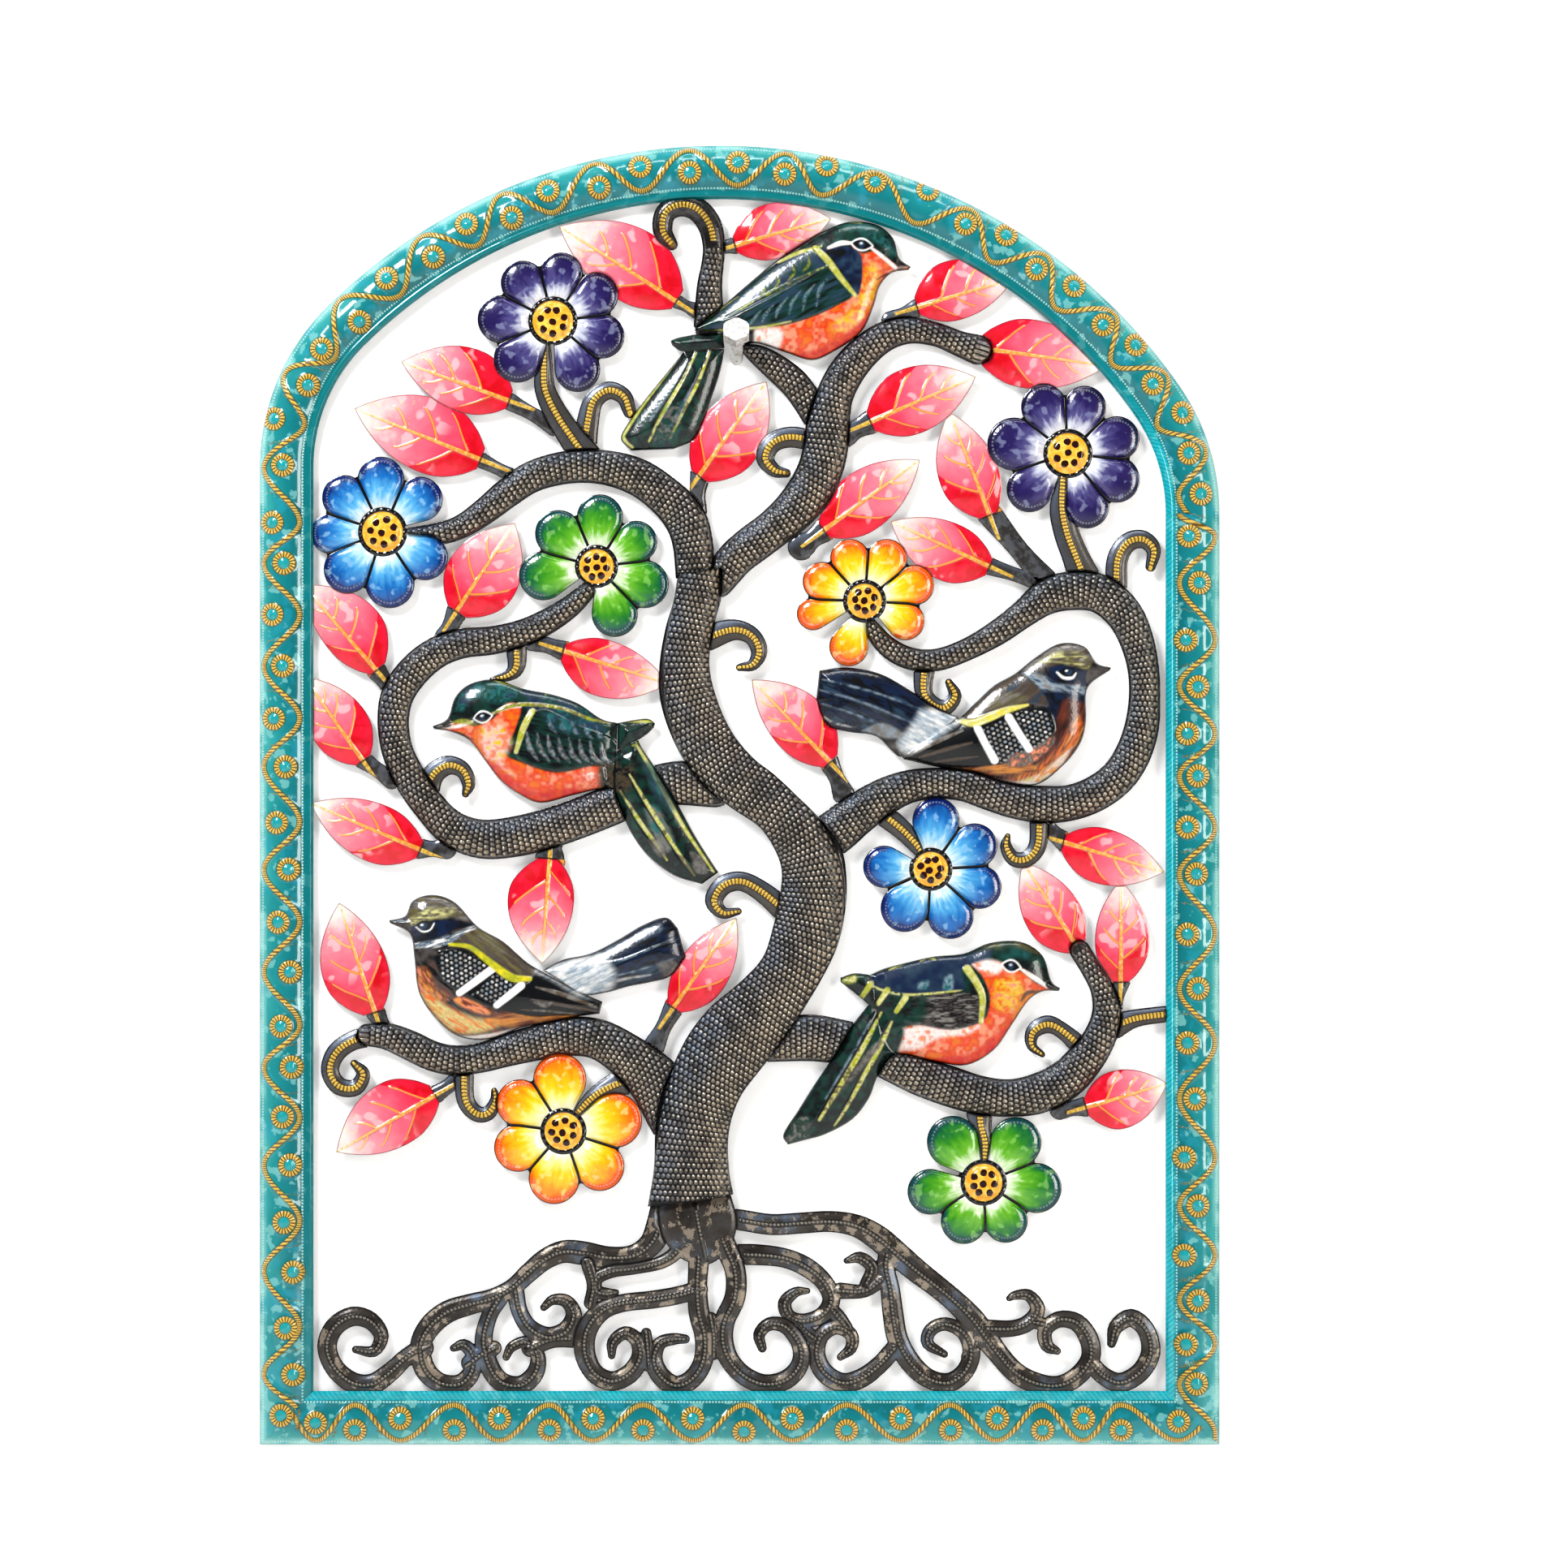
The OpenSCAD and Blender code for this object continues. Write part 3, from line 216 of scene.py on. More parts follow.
# Roots: flat scrolls of sheet, [x, z, width] along the middle of each.
ROOTS = [
    ["roots_left", [
        [[-45, 160, 30], [-53, 148, 20], [-60, 135, 16], [-72, 127, 15], [-88, 126, 15], [-105, 129, 16],
            [-118, 130, 15], [-130, 125, 14], [-141, 116, 13], [-152, 106, 12], [-165, 99, 13],
            [-180, 95, 14], [-195, 90, 15], [-207, 80, 15], [-213, 67, 14], [-210, 52, 14], [-200, 43, 13],
            [-187, 42, 13], [-179, 50, 12], [-178, 61, 10], [-184, 68, 8], [-191, 66, 5]],
        [[-211, 66, 14], [-222, 60, 12], [-233, 50, 13], [-245, 42, 14], [-258, 43, 14], [-270, 53, 13],
            [-275, 67, 13], [-270, 80, 13], [-258, 87, 13], [-246, 84, 12], [-239, 74, 10], [-244, 64, 8],
            [-256, 65, 5]],
        [[-160, 100, 12], [-167, 88, 11], [-171, 72, 12], [-168, 56, 13], [-160, 44, 13], [-147, 41, 13],
            [-137, 49, 12], [-135, 61, 10], [-142, 70, 8], [-152, 67, 7], [-156, 60, 5]],
        [[-150, 104, 12], [-147, 90, 11], [-140, 79, 12], [-128, 73, 14], [-116, 77, 14], [-111, 88, 11],
            [-116, 97, 9], [-125, 98, 7], [-131, 93, 5]],
        [[-180, 56, 12], [-172, 62, 14], [-164, 66, 10]],
        [[-140, 66, 12], [-125, 72, 12], [-108, 72, 12]],
    ]],
    ["roots_middle", [
        [[-30, 158, 50], [-28, 148, 50], [-26, 138, 34]],
        [[-30, 150, 12], [-28, 130, 14], [-29, 108, 13], [-28, 90, 14], [-24, 74, 14], [-25, 58, 13],
            [-32, 46, 13], [-43, 41, 13], [-53, 47, 13], [-58, 58, 12], [-54, 69, 9], [-45, 72, 8],
            [-37, 72, 6]],
        [[-28, 105, 12], [-42, 101, 12], [-60, 98, 12], [-78, 96, 12], [-92, 91, 13], [-102, 79, 14],
            [-104, 64, 14], [-98, 50, 13], [-86, 44, 13], [-74, 49, 13], [-67, 60, 12], [-69, 71, 10],
            [-77, 76, 9], [-85, 70, 8], [-86, 61, 5]],
        [[-34, 146, 12], [-42, 131, 10], [-53, 123, 9], [-70, 119, 8], [-86, 117, 9], [-96, 112, 9],
            [-96, 104, 9], [-89, 102, 8], [-83, 103, 4]],
        [[-100, 96, 9], [-98, 108, 9], [-102, 122, 9]],
        [[-17, 150, 14], [-11, 135, 15], [-4, 118, 14], [-4, 100, 14], [-11, 84, 14], [-12, 70, 14],
            [-7, 57, 13], [3, 47, 13], [16, 42, 13], [30, 45, 13], [39, 55, 12], [39, 68, 11], [30, 80, 10],
            [19, 82, 9], [12, 75, 8], [14, 66, 6]],
        [[-20, 86, 8], [-18, 74, 10], [-18, 62, 8]],
        [[-63, 76, 7], [-62, 66, 8], [-61, 54, 8]],
    ]],
    ["roots_right", [
        [[-10, 152, 14], [0, 151, 14], [20, 148, 14], [40, 149, 14], [60, 150, 14], [77, 147, 15],
            [91, 139, 17], [104, 128, 17], [117, 117, 16], [130, 107, 15], [142, 97, 15], [153, 86, 16],
            [162, 74, 16], [171, 62, 14], [182, 50, 14], [195, 43, 14], [210, 41, 13], [223, 47, 13],
            [232, 59, 13], [231, 72, 13], [223, 83, 12], [211, 85, 11], [202, 78, 10], [203, 68, 9],
            [210, 64, 5]],
        [[-6, 128, 14], [10, 128, 14], [28, 126, 13], [43, 120, 13], [55, 110, 12], [60, 98, 12],
            [54, 88, 11], [42, 84, 10], [32, 87, 9], [29, 96, 9], [36, 103, 7], [44, 104, 4]],
        [[98, 132, 12], [96, 120, 12], [99, 105, 13], [101, 88, 14], [104, 72, 14], [112, 57, 14],
            [124, 46, 13], [138, 43, 13], [149, 51, 12], [153, 64, 12], [148, 76, 10], [136, 82, 9],
            [126, 78, 9], [124, 69, 8], [135, 62, 5]],
        [[102, 66, 12], [92, 55, 12], [80, 46, 13], [67, 43, 13], [55, 50, 13], [50, 62, 12], [53, 74, 11],
            [63, 80, 10], [73, 75, 9], [73, 66, 8], [66, 60, 5]],
        [[94, 112, 10], [82, 104, 9], [66, 104, 11]],
        [[83, 108, 9], [87, 119, 9], [79, 126, 8], [70, 124, 4]],
        [[60, 92, 9], [65, 86, 10], [70, 80, 8]],
        [[38, 82, 8], [44, 76, 10], [50, 72, 8]],
        [[163, 79, 12], [180, 79, 11], [191, 83, 11], [197, 92, 10], [191, 101, 8], [182, 101, 6],
            [178, 99, 4]],
        [[192, 84, 9], [200, 82, 9]],
        [[231, 58, 11], [240, 48, 12], [252, 43, 13], [265, 50, 13], [272, 63, 13], [269, 78, 12],
            [259, 86, 12], [249, 80, 10], [246, 69, 6]],
        [[150, 60, 8], [157, 70, 8]],
    ]],
]


# ---- flat shapes -------------------------------------------------------------------------
def spline(points, per=5):
    """Catmull-Rom curve through the points, `per` steps to each span."""
    p = np.array(points, float)
    ends = np.vstack([2 * p[0] - p[1], p, 2 * p[-1] - p[-2]])
    t = np.linspace(0, 1, per, endpoint=False)[:, None]
    out = [
        0.5 * (2 * b + (c - a) * t + (2 * a - 5 * b + 4 * c - d) * t**2 + (3 * b - a - 3 * c + d) * t**3)
        for a, b, c, d in zip(ends, ends[1:], ends[2:], ends[3:])
    ]
    return np.vstack([*out, p[-1:]])


def unit(v):
    return v / np.maximum(np.linalg.norm(v, axis=-1, keepdims=True), 1e-9)


def ramp(x, low, high):
    """Smooth step from 0 at low to 1 at high."""
    t = np.clip((x - low) / (high - low), 0, 1)
    return t * t * (3 - 2 * t)


class Ribbon:
    """A shape along a middle line. At a point it gives the signed distance to its outline, the
    length along it, the distance to the left of its middle line, its half width there, and the
    direction of its left side."""

    def __init__(self, middle, half):
        self.p, self.r = middle, half
        self.run = np.concatenate([[0], np.cumsum(np.linalg.norm(np.diff(middle, axis=0), axis=1))])
        self.way = unit(np.gradient(middle, axis=0))
        self.low = (middle - half[:, None]).min(0)
        self.high = (middle + half[:, None]).max(0)

    def at(self, q):
        near, best = np.full((2, len(q)), FAR)
        along, left, width = np.zeros(len(q)), np.zeros(len(q)), np.ones(len(q))
        normal = np.zeros((len(q), 2))
        parts = zip(self.p, self.p[1:], self.r, self.r[1:], self.run, self.way, self.way[1:])
        for a, b, ra, rb, s, way_a, way_b in parts:
            d = b - a
            n = math.hypot(*d)
            if n < 1e-6:
                continue
            d = d / n
            rel = q - a
            t = np.clip(rel @ d, 0, n)
            off = rel - t[:, None] * d
            r = ra + (rb - ra) * t / n
            # The share of the span turns evenly from one end's direction to the other's.
            past, short = rel @ way_a, (q - b) @ way_b
            within = (past >= 0) & (short < 0)
            share = np.clip(past / np.where(within, past - short, FAR), 0, 1)
            f = np.hypot(off[:, 0], off[:, 1]) - r
            near = np.minimum(near, f)
            f = f + BEYOND_SPAN * ~within
            hit = f < best
            best[hit], width[hit] = f[hit], r[hit]
            along[hit] = (s + np.where(within, share * n, t))[hit]
            left[hit] = (rel[:, 1] * d[0] - rel[:, 0] * d[1])[hit]
            normal[hit] = (-d[1], d[0])
        return near, along, left, width, normal

    def distance(self, q):
        return self.at(q)[0]


def stroke(points, per=5):
    p = spline(points, per)
    return Ribbon(p[:, :2], p[:, 2] / 2)


class Outline:
    """A shape inside one closed outline."""

    def __init__(self, points):
        self.p = np.array(points, float)
        self.low, self.high = self.p.min(0), self.p.max(0)

    def distance(self, q):
        best = np.full(len(q), FAR)
        inside = np.zeros(len(q), bool)
        for a, b in zip(self.p, np.roll(self.p, -1, 0)):
            d = b - a
            x, y = q[:, 0] - a[0], q[:, 1] - a[1]
            t = np.clip((x * d[0] + y * d[1]) / max(d @ d, 1e-9), 0, 1)
            best = np.minimum(best, (x - t * d[0]) ** 2 + (y - t * d[1]) ** 2)
            if a[1] != b[1]:
                cross = (a[1] > q[:, 1]) != (b[1] > q[:, 1])
                inside ^= cross & (x < d[0] * y / d[1])
        return np.where(inside, -1, 1) * np.sqrt(best)


def two_edges(left, right):
    """Outline of a shape given by its two edges."""
    return Outline(np.vstack([spline(left), spline(right)[::-1]]))


class Petal:
    """A drop: straight sides from the flower's middle, and round at its end."""

    def __init__(self, centre, direction, half, reach):
        a = math.radians(direction)
        self.c, self.d = np.array(centre, float), np.array([math.cos(a), math.sin(a)])
        self.half = math.radians(half)
        self.far = reach / (1 + math.sin(self.half))
        self.round = reach - self.far
        self.reach = reach
        self.low, self.high = self.c - reach, self.c + reach

    def at(self, q):
        rel = q - self.c
        t = rel @ self.d
        v = rel[:, 1] * self.d[0] - rel[:, 0] * self.d[1]
        s, c = math.sin(self.half), math.cos(self.half)
        k = t * c + np.abs(v) * s
        side = np.abs(v) * c - t * s
        f = np.where(k > self.far * c, np.hypot(t - self.far, v) - self.round, side)
        f = np.where(k < 0, np.hypot(t, v), f)
        straight = self.far * c * c
        bend = np.sqrt(np.maximum(self.round**2 - (t - self.far) ** 2, 0.01))
        w = np.where(t < straight, np.maximum(t, 0.5) * math.tan(self.half), bend)
        return f, t, v, w

    def distance(self, q):
        return self.at(q)[0]


class Disc:
    def __init__(self, centre, r):
        self.c, self.r = np.array(centre, float), r
        self.low, self.high = self.c - r, self.c + r

    def distance(self, q):
        return np.linalg.norm(q - self.c, axis=1) - self.r


def by_box(shape, q, margin=6):
    """Which points are in or close to the shape's box."""
    return ((q > shape.low - margin) & (q < shape.high + margin)).all(1)


def nearest(shapes, q):
    """Signed distance to the closest of some shapes; far away where no box is near."""
    best = np.full(len(q), NOWHERE)
    for s in shapes:
        near = by_box(s, q)
        if near.any():
            best[near] = np.minimum(best[near], s.distance(q[near]))
    return best


# ---- sheet-metal meshes ------------------------------------------------------------------
SHARP_ANGLE = 55  # degrees, above which an edge is shaded sharp
BELOW_SHEET = 0.2  # how far a dent may reach below the flat sheet's back
RIM_REACH = (0.35, 0.75)  # in cells: how far out a rim point may lie, and how far it may be moved


def put_mesh(name, verts, quads):
    """verts in panel millimetres (x, depth off the wall, z)."""
    row = np.stack([verts[:, 0] - HOOK[0], -verts[:, 1], verts[:, 2] - HOOK[1]], 1) * MM
    mesh = bpy.data.meshes.new(name)
    mesh.vertices.add(len(row))
    mesh.vertices.foreach_set("co", row.astype(np.float32).ravel())
    mesh.loops.add(quads.size)
    mesh.loops.foreach_set("vertex_index", quads.astype(np.int32).ravel())
    mesh.polygons.add(len(quads))
    mesh.polygons.foreach_set("loop_start", np.arange(0, quads.size, 4, dtype=np.int32))
    mesh.update(calc_edges=True)
    mesh.validate()
    mesh.polygons.foreach_set("use_smooth", np.ones(len(mesh.polygons), bool))
    mesh.set_sharp_from_angle(angle=math.radians(SHARP_ANGLE))
    obj = bpy.data.objects.new(name, mesh)
    bpy.context.scene.collection.objects.link(obj)
    return obj


def put_values(obj, **values):
    """Per-vertex numbers (or colours) that the materials read."""
    for name, v in values.items():
        v = np.asarray(v, np.float32)
        if v.ndim == 1:
            obj.data.attributes.new(name, "FLOAT", "POINT").data.foreach_set("value", v)
        else:
            rgba = np.concatenate([v, np.ones((len(v), 1), np.float32)], 1)
            layer = obj.data.attributes.new(name, "FLOAT_COLOR", "POINT")
            layer.data.foreach_set("color", rgba.ravel())


def rim_edges(quads):
    """Edges that only one quad uses, in that quad's direction."""
    e = np.concatenate([quads[:, [i, (i + 1) % 4]] for i in range(4)])
    key = np.sort(e, 1).astype(np.int64)
    key = key[:, 0] * (key.max() + 1) + key[:, 1]
    _, first, count = np.unique(key, return_index=True, return_counts=True)
    return e[first[count == 1]]


def grid_inside(inside, low, high, cell):
    """Flat quad grid of the region where inside(q) < 0, its rim moved on to the outline."""
    n = np.ceil((high - low) / cell).astype(int) + 3
    x, z = low[0] + (np.arange(n[0]) - 1) * cell, low[1] + (np.arange(n[1]) - 1) * cell
    gx, gz = np.meshgrid(x, z, indexing="ij")
    q = np.stack([gx.ravel(), gz.ravel()], 1)
    f = inside(q)
    grid = f.reshape(n[0], n[1])
    keep = grid < RIM_REACH[0] * cell
    cells = keep[:-1, :-1] & keep[1:, :-1] & keep[1:, 1:] & keep[:-1, 1:]
    if not cells.any():
        return None
    i, j = np.nonzero(cells)
    at = i * n[1] + j
    quads = np.stack([at, at + n[1], at + n[1] + 1, at + 1], 1)
    slope = np.stack(np.gradient(grid, cell), -1).reshape(-1, 2)
    used, quads = np.unique(quads, return_inverse=True)
    quads = quads.reshape(-1, 4)
    p, slope, f = q[used].copy(), unit(slope[used]), f[used]
    rim = np.unique(rim_edges(quads))
    move = np.clip(f[rim], -RIM_REACH[1] * cell, RIM_REACH[1] * cell)
    p[rim] -= slope[rim] * move[:, None]
    return p, quads


def patch(shapes, over, height, cell=CELL, outline=None):
    """One hammered area: the shapes less what lies over them, inside the border.
    height(q, edge) gives the relief in millimetres and a dict of values for the paint."""
    low = np.maximum(np.min([s.low for s in shapes], 0), OPENING.low) - cell
    high = np.minimum(np.max([s.high for s in shapes], 0), OPENING.high) + cell
    near = [s for s in over if (s.low < high).all() and (s.high > low).all()]

    def inside(q):
        f = outline(q) if outline else nearest(shapes, q)
        f = np.maximum(f, -nearest(near, q)) if near else f
        return np.maximum(f, OPENING.distance(q))

    found = grid_inside(inside, low, high, cell)
    if found is None:  # all of it lies under its neighbours
        return None
    p, quads = found
    edge = -inside(p)
    rise, values = height(p, edge)
    return p, quads, rise, dict(values, edge=edge)


def hammered(name, patches, node, material):
    """One object from its patches, standing for a CAD node and moving with the panel."""
    verts, faces, values, total = [], [], [], 0
    for p, quads, rise, own in filter(None, patches):
        front = STAND_OFF + SHEET + rise
        back = np.maximum(front - SHEET, STAND_OFF - BELOW_SHEET)
        # The rim is turned down to the flat sheet, so that no light shows where two heights meet.
        rim = rim_edges(quads)
        back[rim[SHANK_ROOM.distance(p[rim[:, 0]]) > 1, 0]] = STAND_OFF
        n = len(p)
        verts += [np.stack([p[:, 0], front, p[:, 1]], 1), np.stack([p[:, 0], back, p[:, 1]], 1)]
        wall = np.stack([rim[:, 1], rim[:, 0], rim[:, 0] + n, rim[:, 1] + n], 1)
        faces.append(np.concatenate([quads, quads[:, ::-1] + n, wall]) + total)
        own = dict(own, front=np.ones(n))
        values.append({k: np.concatenate([v, v * 0 if k == "front" else v]) for k, v in own.items()})
        total += 2 * n
    obj = put_mesh(name, np.concatenate(verts), np.concatenate(faces))
    put_values(obj, **{k: np.concatenate([v[k] for v in values]) for k in values[0]})
    obj.data.materials.append(material)
    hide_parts(node)
    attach(obj, "panel")
    return obj


# ---- what lies over what -----------------------------------------------------------------
BORDER = 36.0
LEFT_EDGE, RIGHT_EDGE, BOTTOM_EDGE = 320.0, 318.0, 1.5
CROWN, CROWN_R, SHOULDER_R = np.array([-14.0, 493.0]), 372.0, 150.0


def shoulder(dx):
    reach = CROWN_R - SHOULDER_R
    c = CROWN + (dx, math.sqrt(reach**2 - dx**2))
    return c, math.atan2(c[1] - CROWN[1], c[0] - CROWN[0])


LEFT_C, LEFT_TURN = shoulder(SHOULDER_R - LEFT_EDGE - CROWN[0])
RIGHT_C, RIGHT_TURN = shoulder(RIGHT_EDGE - SHOULDER_R - CROWN[0])
# The arch from left to right: centre, outer radius, angle from, angle to.
ARCS = [
    (LEFT_C, SHOULDER_R, math.pi, LEFT_TURN),
    (CROWN, CROWN_R, LEFT_TURN, RIGHT_TURN),
    (RIGHT_C, SHOULDER_R, RIGHT_TURN, 0.0),
]


RUN_LINE = 15  # lengths along the border are measured this far in from its outer edge


def arch_line(inset, step):
    """Points along the arch, its direction inwards, and the length run on the line RUN_LINE in."""
    out, run = [], 0.0
    for c, r, a, b in ARCS:
        n = max(2, int(abs(b - a) * r / step))
        t = np.linspace(a, b, n + 1)
        t = t[:-1] if c is not RIGHT_C else t
        way = np.stack([np.cos(t), np.sin(t)], 1)
        out.append(np.column_stack([c + way * (r - inset), -way, run + np.abs(t - a) * (r - RUN_LINE)]))
        run += abs(b - a) * (r - RUN_LINE)
    return np.vstack(out)


OPENING = Outline(np.vstack([
    [[-LEFT_EDGE + BORDER, BOTTOM_EDGE + BORDER]],
    arch_line(BORDER, 8)[:, :2],
    [[RIGHT_EDGE - BORDER, BOTTOM_EDGE + BORDER]],
]))

trunk = two_edges(*TRUNK_FORM)
left, right = (np.array(edge, float) for edge in TRUNK_FORM)
middle = spline(np.column_stack([(left + right) / 2, np.linalg.norm(left - right, axis=1) / 2]), 8)
SMOOTHINGS = 60
for _ in range(SMOOTHINGS):  # so that the rows of scales fan evenly
    middle[1:-1] = (middle[:-2] + 2 * middle[1:-1] + middle[2:]) / 4
trunk.ribbon = Ribbon(middle[:, :2], middle[:, 2])
limbs = [stroke(points) for _, points in LIMBS]
top = [stroke(points) for points in TOP_LIMB]
stems = [stroke(points) for points in FLOWER_STEMS]
curls = [[stroke(points) for points in group] for _, group in TENDRILS]
petals = [[Petal(centre, *petal) for petal in petal_list] for _, centre, _, petal_list in FLOWERS]
EYE_LAP = 0.4  # how far the eye's sheet reaches past its radius
eyes = [Disc(centre, radius + EYE_LAP) for _, centre, radius, _ in FLOWERS]
bird_forms = [[two_edges(*form) for form in forms] for _, forms in BIRDS]
root_strokes = [[stroke(points, 4) for points in group] for _, group in ROOTS]

LEAF_AT = [0, 0.1, 0.25, 0.42, 0.6, 0.76, 0.9, 1]
LEAF_WIDTH = [0.3, 0.64, 0.93, 1, 0.9, 0.66, 0.32, 0.0]


class Leaf(Outline):
    def __init__(self, foot, stem_width, base, tip, left, right):
        self.base, self.tip = np.array(base, float), np.array(tip, float)
        self.long = np.linalg.norm(self.tip - self.base)
        self.d = (self.tip - self.base) / self.long
        self.side = np.array([-self.d[1], self.d[0]])
        self.sides = (left, right)
        shape = spline(np.column_stack([LEAF_AT, LEAF_WIDTH]), 5)
        middle = self.base + np.outer(shape[:, 0] * self.long, self.d)
        super().__init__(np.vstack([
            middle + np.outer(shape[:, 1] * left, self.side),
            (middle - np.outer(shape[:, 1] * right, self.side))[::-1],
        ]))
        self.stem = stroke([
            [*foot, stem_width],
            [*(self.base + np.array(foot)) / 2, stem_width * 0.72],
            [*(self.base + self.d * 2), stem_width * 0.95],
        ], 4)

    def at(self, q):
        """Share of the length, signed distance to the left, and half width on that side."""
        rel = q - self.base
        t, v = rel @ self.d / self.long, rel @ self.side
        w = np.interp(t, LEAF_AT, LEAF_WIDTH) * np.where(v > 0, *self.sides)
        return t, v, np.maximum(w, 0.5)


leaves = [Leaf(*entry) for _, *entry in LEAVES]
SHANK_ROOM = Disc([-3, 728.5], 5.6)  # where the screw's shank passes the top bird

blooms = [s for k in range(len(FLOWERS)) for s in (*petals[k], eyes[k])]
fowl = [s for forms in bird_forms for s in forms]
wood = [trunk, *limbs, *top]
all_curls = [s for group in curls for s in group]


# ---- materials in nodes ------------------------------------------------------------------
def math_node(kind):
    """A method that puts its value, and another where the kind takes two, through a Math node."""

    def method(self, *others):
        node = self.paint.new("ShaderNodeMath", operation=kind)
        for at, v in enumerate((self, *others)):
            self.paint.feed(v, node.inputs[at])
        return Value(self.paint, node.outputs[0])

    return method


class Value:
    """A socket of a material's node tree that takes part in sums."""

    __add__ = __radd__ = math_node("ADD")
    __sub__ = math_node("SUBTRACT")
    __mul__ = __rmul__ = math_node("MULTIPLY")
    __truediv__ = math_node("DIVIDE")
    __mod__ = math_node("MODULO")
    __abs__ = math_node("ABSOLUTE")
    fract = math_node("FRACT")
    floor = math_node("FLOOR")
    root = math_node("SQRT")
    least = math_node("MINIMUM")
    most = math_node("MAXIMUM")
    arctan2 = math_node("ARCTAN2")

    def __init__(self, paint, socket):
        self.paint, self.socket = paint, socket

    def __rsub__(self, other):
        return self * -1 + other

    def step(self, low, high):
        """0 below low and 1 above high; the other way round where low is the larger."""
        node = self.paint.new("ShaderNodeMapRange", interpolation_type="SMOOTHSTEP")
        self.paint.feed(self, node.inputs["Value"])
        a, b, c, d = (low, high, 0, 1) if low < high else (high, low, 1, 0)
        for name, v in (("From Min", a), ("From Max", b), ("To Min", c), ("To Max", d)):
            node.inputs[name].default_value = v
        return Value(self.paint, node.outputs["Result"])


def length(a, b):
    return (a * a + b * b).root()


class Paint:
    """A procedural material on one Principled shader."""

    def __init__(self, name, roughness=0.3, metallic=0.0, coat=0.0, coat_roughness=0.08):
        self.material = bpy.data.materials.new(name)
        self.material.use_nodes = True
        self.tree = self.material.node_tree
        self.shader = self.tree.nodes["Principled BSDF"]
        self.shader.inputs["Roughness"].default_value = roughness
        self.shader.inputs["Metallic"].default_value = metallic
        self.shader.inputs["Coat Weight"].default_value = coat
        self.shader.inputs["Specular IOR Level"].default_value = 0.25
        self.shader.inputs["Coat Roughness"].default_value = coat_roughness
        self.known = {}

    def new(self, kind, **settings):
        node = self.tree.nodes.new(kind)
        for k, v in settings.items():
            setattr(node, k, v)
        return node

    def feed(self, v, socket):
        if isinstance(v, Value):
            self.tree.links.new(v.socket, socket)
        elif isinstance(v, (int, float)):
            socket.default_value = v
        else:
            socket.default_value = (*v, 1)[: len(socket.default_value)]

    def read(self, name, output="Fac"):
        if (name, output) not in self.known:
            node = self.new("ShaderNodeAttribute", attribute_name=name)
            self.known[name, output] = Value(self, node.outputs[output])
        return self.known[name, output]

    def noise(self, size, detail=2.0, shift=0.0, rough=0.5):
        """Noise from 0 to 1 with patches about `size` mm across."""
        place = self.new("ShaderNodeTexCoord")
        moved = self.new("ShaderNodeMapping")
        moved.inputs["Location"].default_value = (shift, shift * 1.7, shift * 0.6)
        self.tree.links.new(place.outputs["Object"], moved.inputs["Vector"])
        node = self.new("ShaderNodeTexNoise")
        node.inputs["Scale"].default_value = 1000 / size
        node.inputs["Detail"].default_value = detail
        node.inputs["Roughness"].default_value = rough
        self.tree.links.new(moved.outputs["Vector"], node.inputs["Vector"])
        return Value(self, node.outputs["Fac"])

    def mix(self, f, a, b):
        node = self.new("ShaderNodeMix", data_type="RGBA")
        self.feed(f, node.inputs["Factor"])
        self.feed(a, node.inputs[6])
        self.feed(b, node.inputs[7])
        return Value(self, node.outputs[2])

    def band(self, x, *stops):
        """Colours along x: (at, colour), ..."""
        node = self.new("ShaderNodeValToRGB")
        ramp_node = node.color_ramp
        low, high = stops[0][0], stops[-1][0]
        for _ in stops[2:]:
            ramp_node.elements.new(0.5)
        for e, (at, colour) in zip(ramp_node.elements, stops):
            e.position, e.color = (at - low) / (high - low), (*colour, 1)
        self.feed((x - low) * (1 / (high - low)), node.inputs["Fac"])
        return Value(self, node.outputs["Color"])

    def finish(self, colour, roughness=None, metallic=None, bump=None, depth=0.0004):
        """Back faces of every hammered piece stay bare dark steel."""
        bare = self.mix(self.noise(9, 4), (0.045, 0.04, 0.037), (0.12, 0.11, 0.10))
        front = self.read("front").step(0.45, 0.55)
        self.feed(self.mix(front, bare, colour), self.shader.inputs["Base Color"])
        if roughness is not None:
            self.feed(roughness, self.shader.inputs["Roughness"])
        if metallic is not None:
            self.feed(metallic, self.shader.inputs["Metallic"])
        if bump is not None:
            node = self.new("ShaderNodeBump")
            node.inputs["Distance"].default_value = depth
            self.feed(bump, node.inputs["Height"])
            self.tree.links.new(node.outputs["Normal"], self.shader.inputs["Normal"])
            self.tree.links.new(node.outputs["Normal"], self.shader.inputs["Coat Normal"])
        return self.material


# ---- bark: rows of punched scales --------------------------------------------------------
ROW, COLUMN = 3.7, 3.4  # pitch of the scales along a limb and across it
BEAD = 2.4  # pitch of the gold beads
OFF = 9.0  # put on or taken off a value, it keeps a mark from showing
UP_LIGHT = np.array([-0.55, 0.83])  # sides that face this way get the lighter paint: painted light, as if lit from here


def lean(left, width, normal):
    """How far across a limb a point lies, from -1 to 1, and how far it faces UP_LIGHT, which sets its painted
    light and shade.
    """
    across = np.clip(left / width, -1, 1)
    return across, across * (normal @ UP_LIGHT)


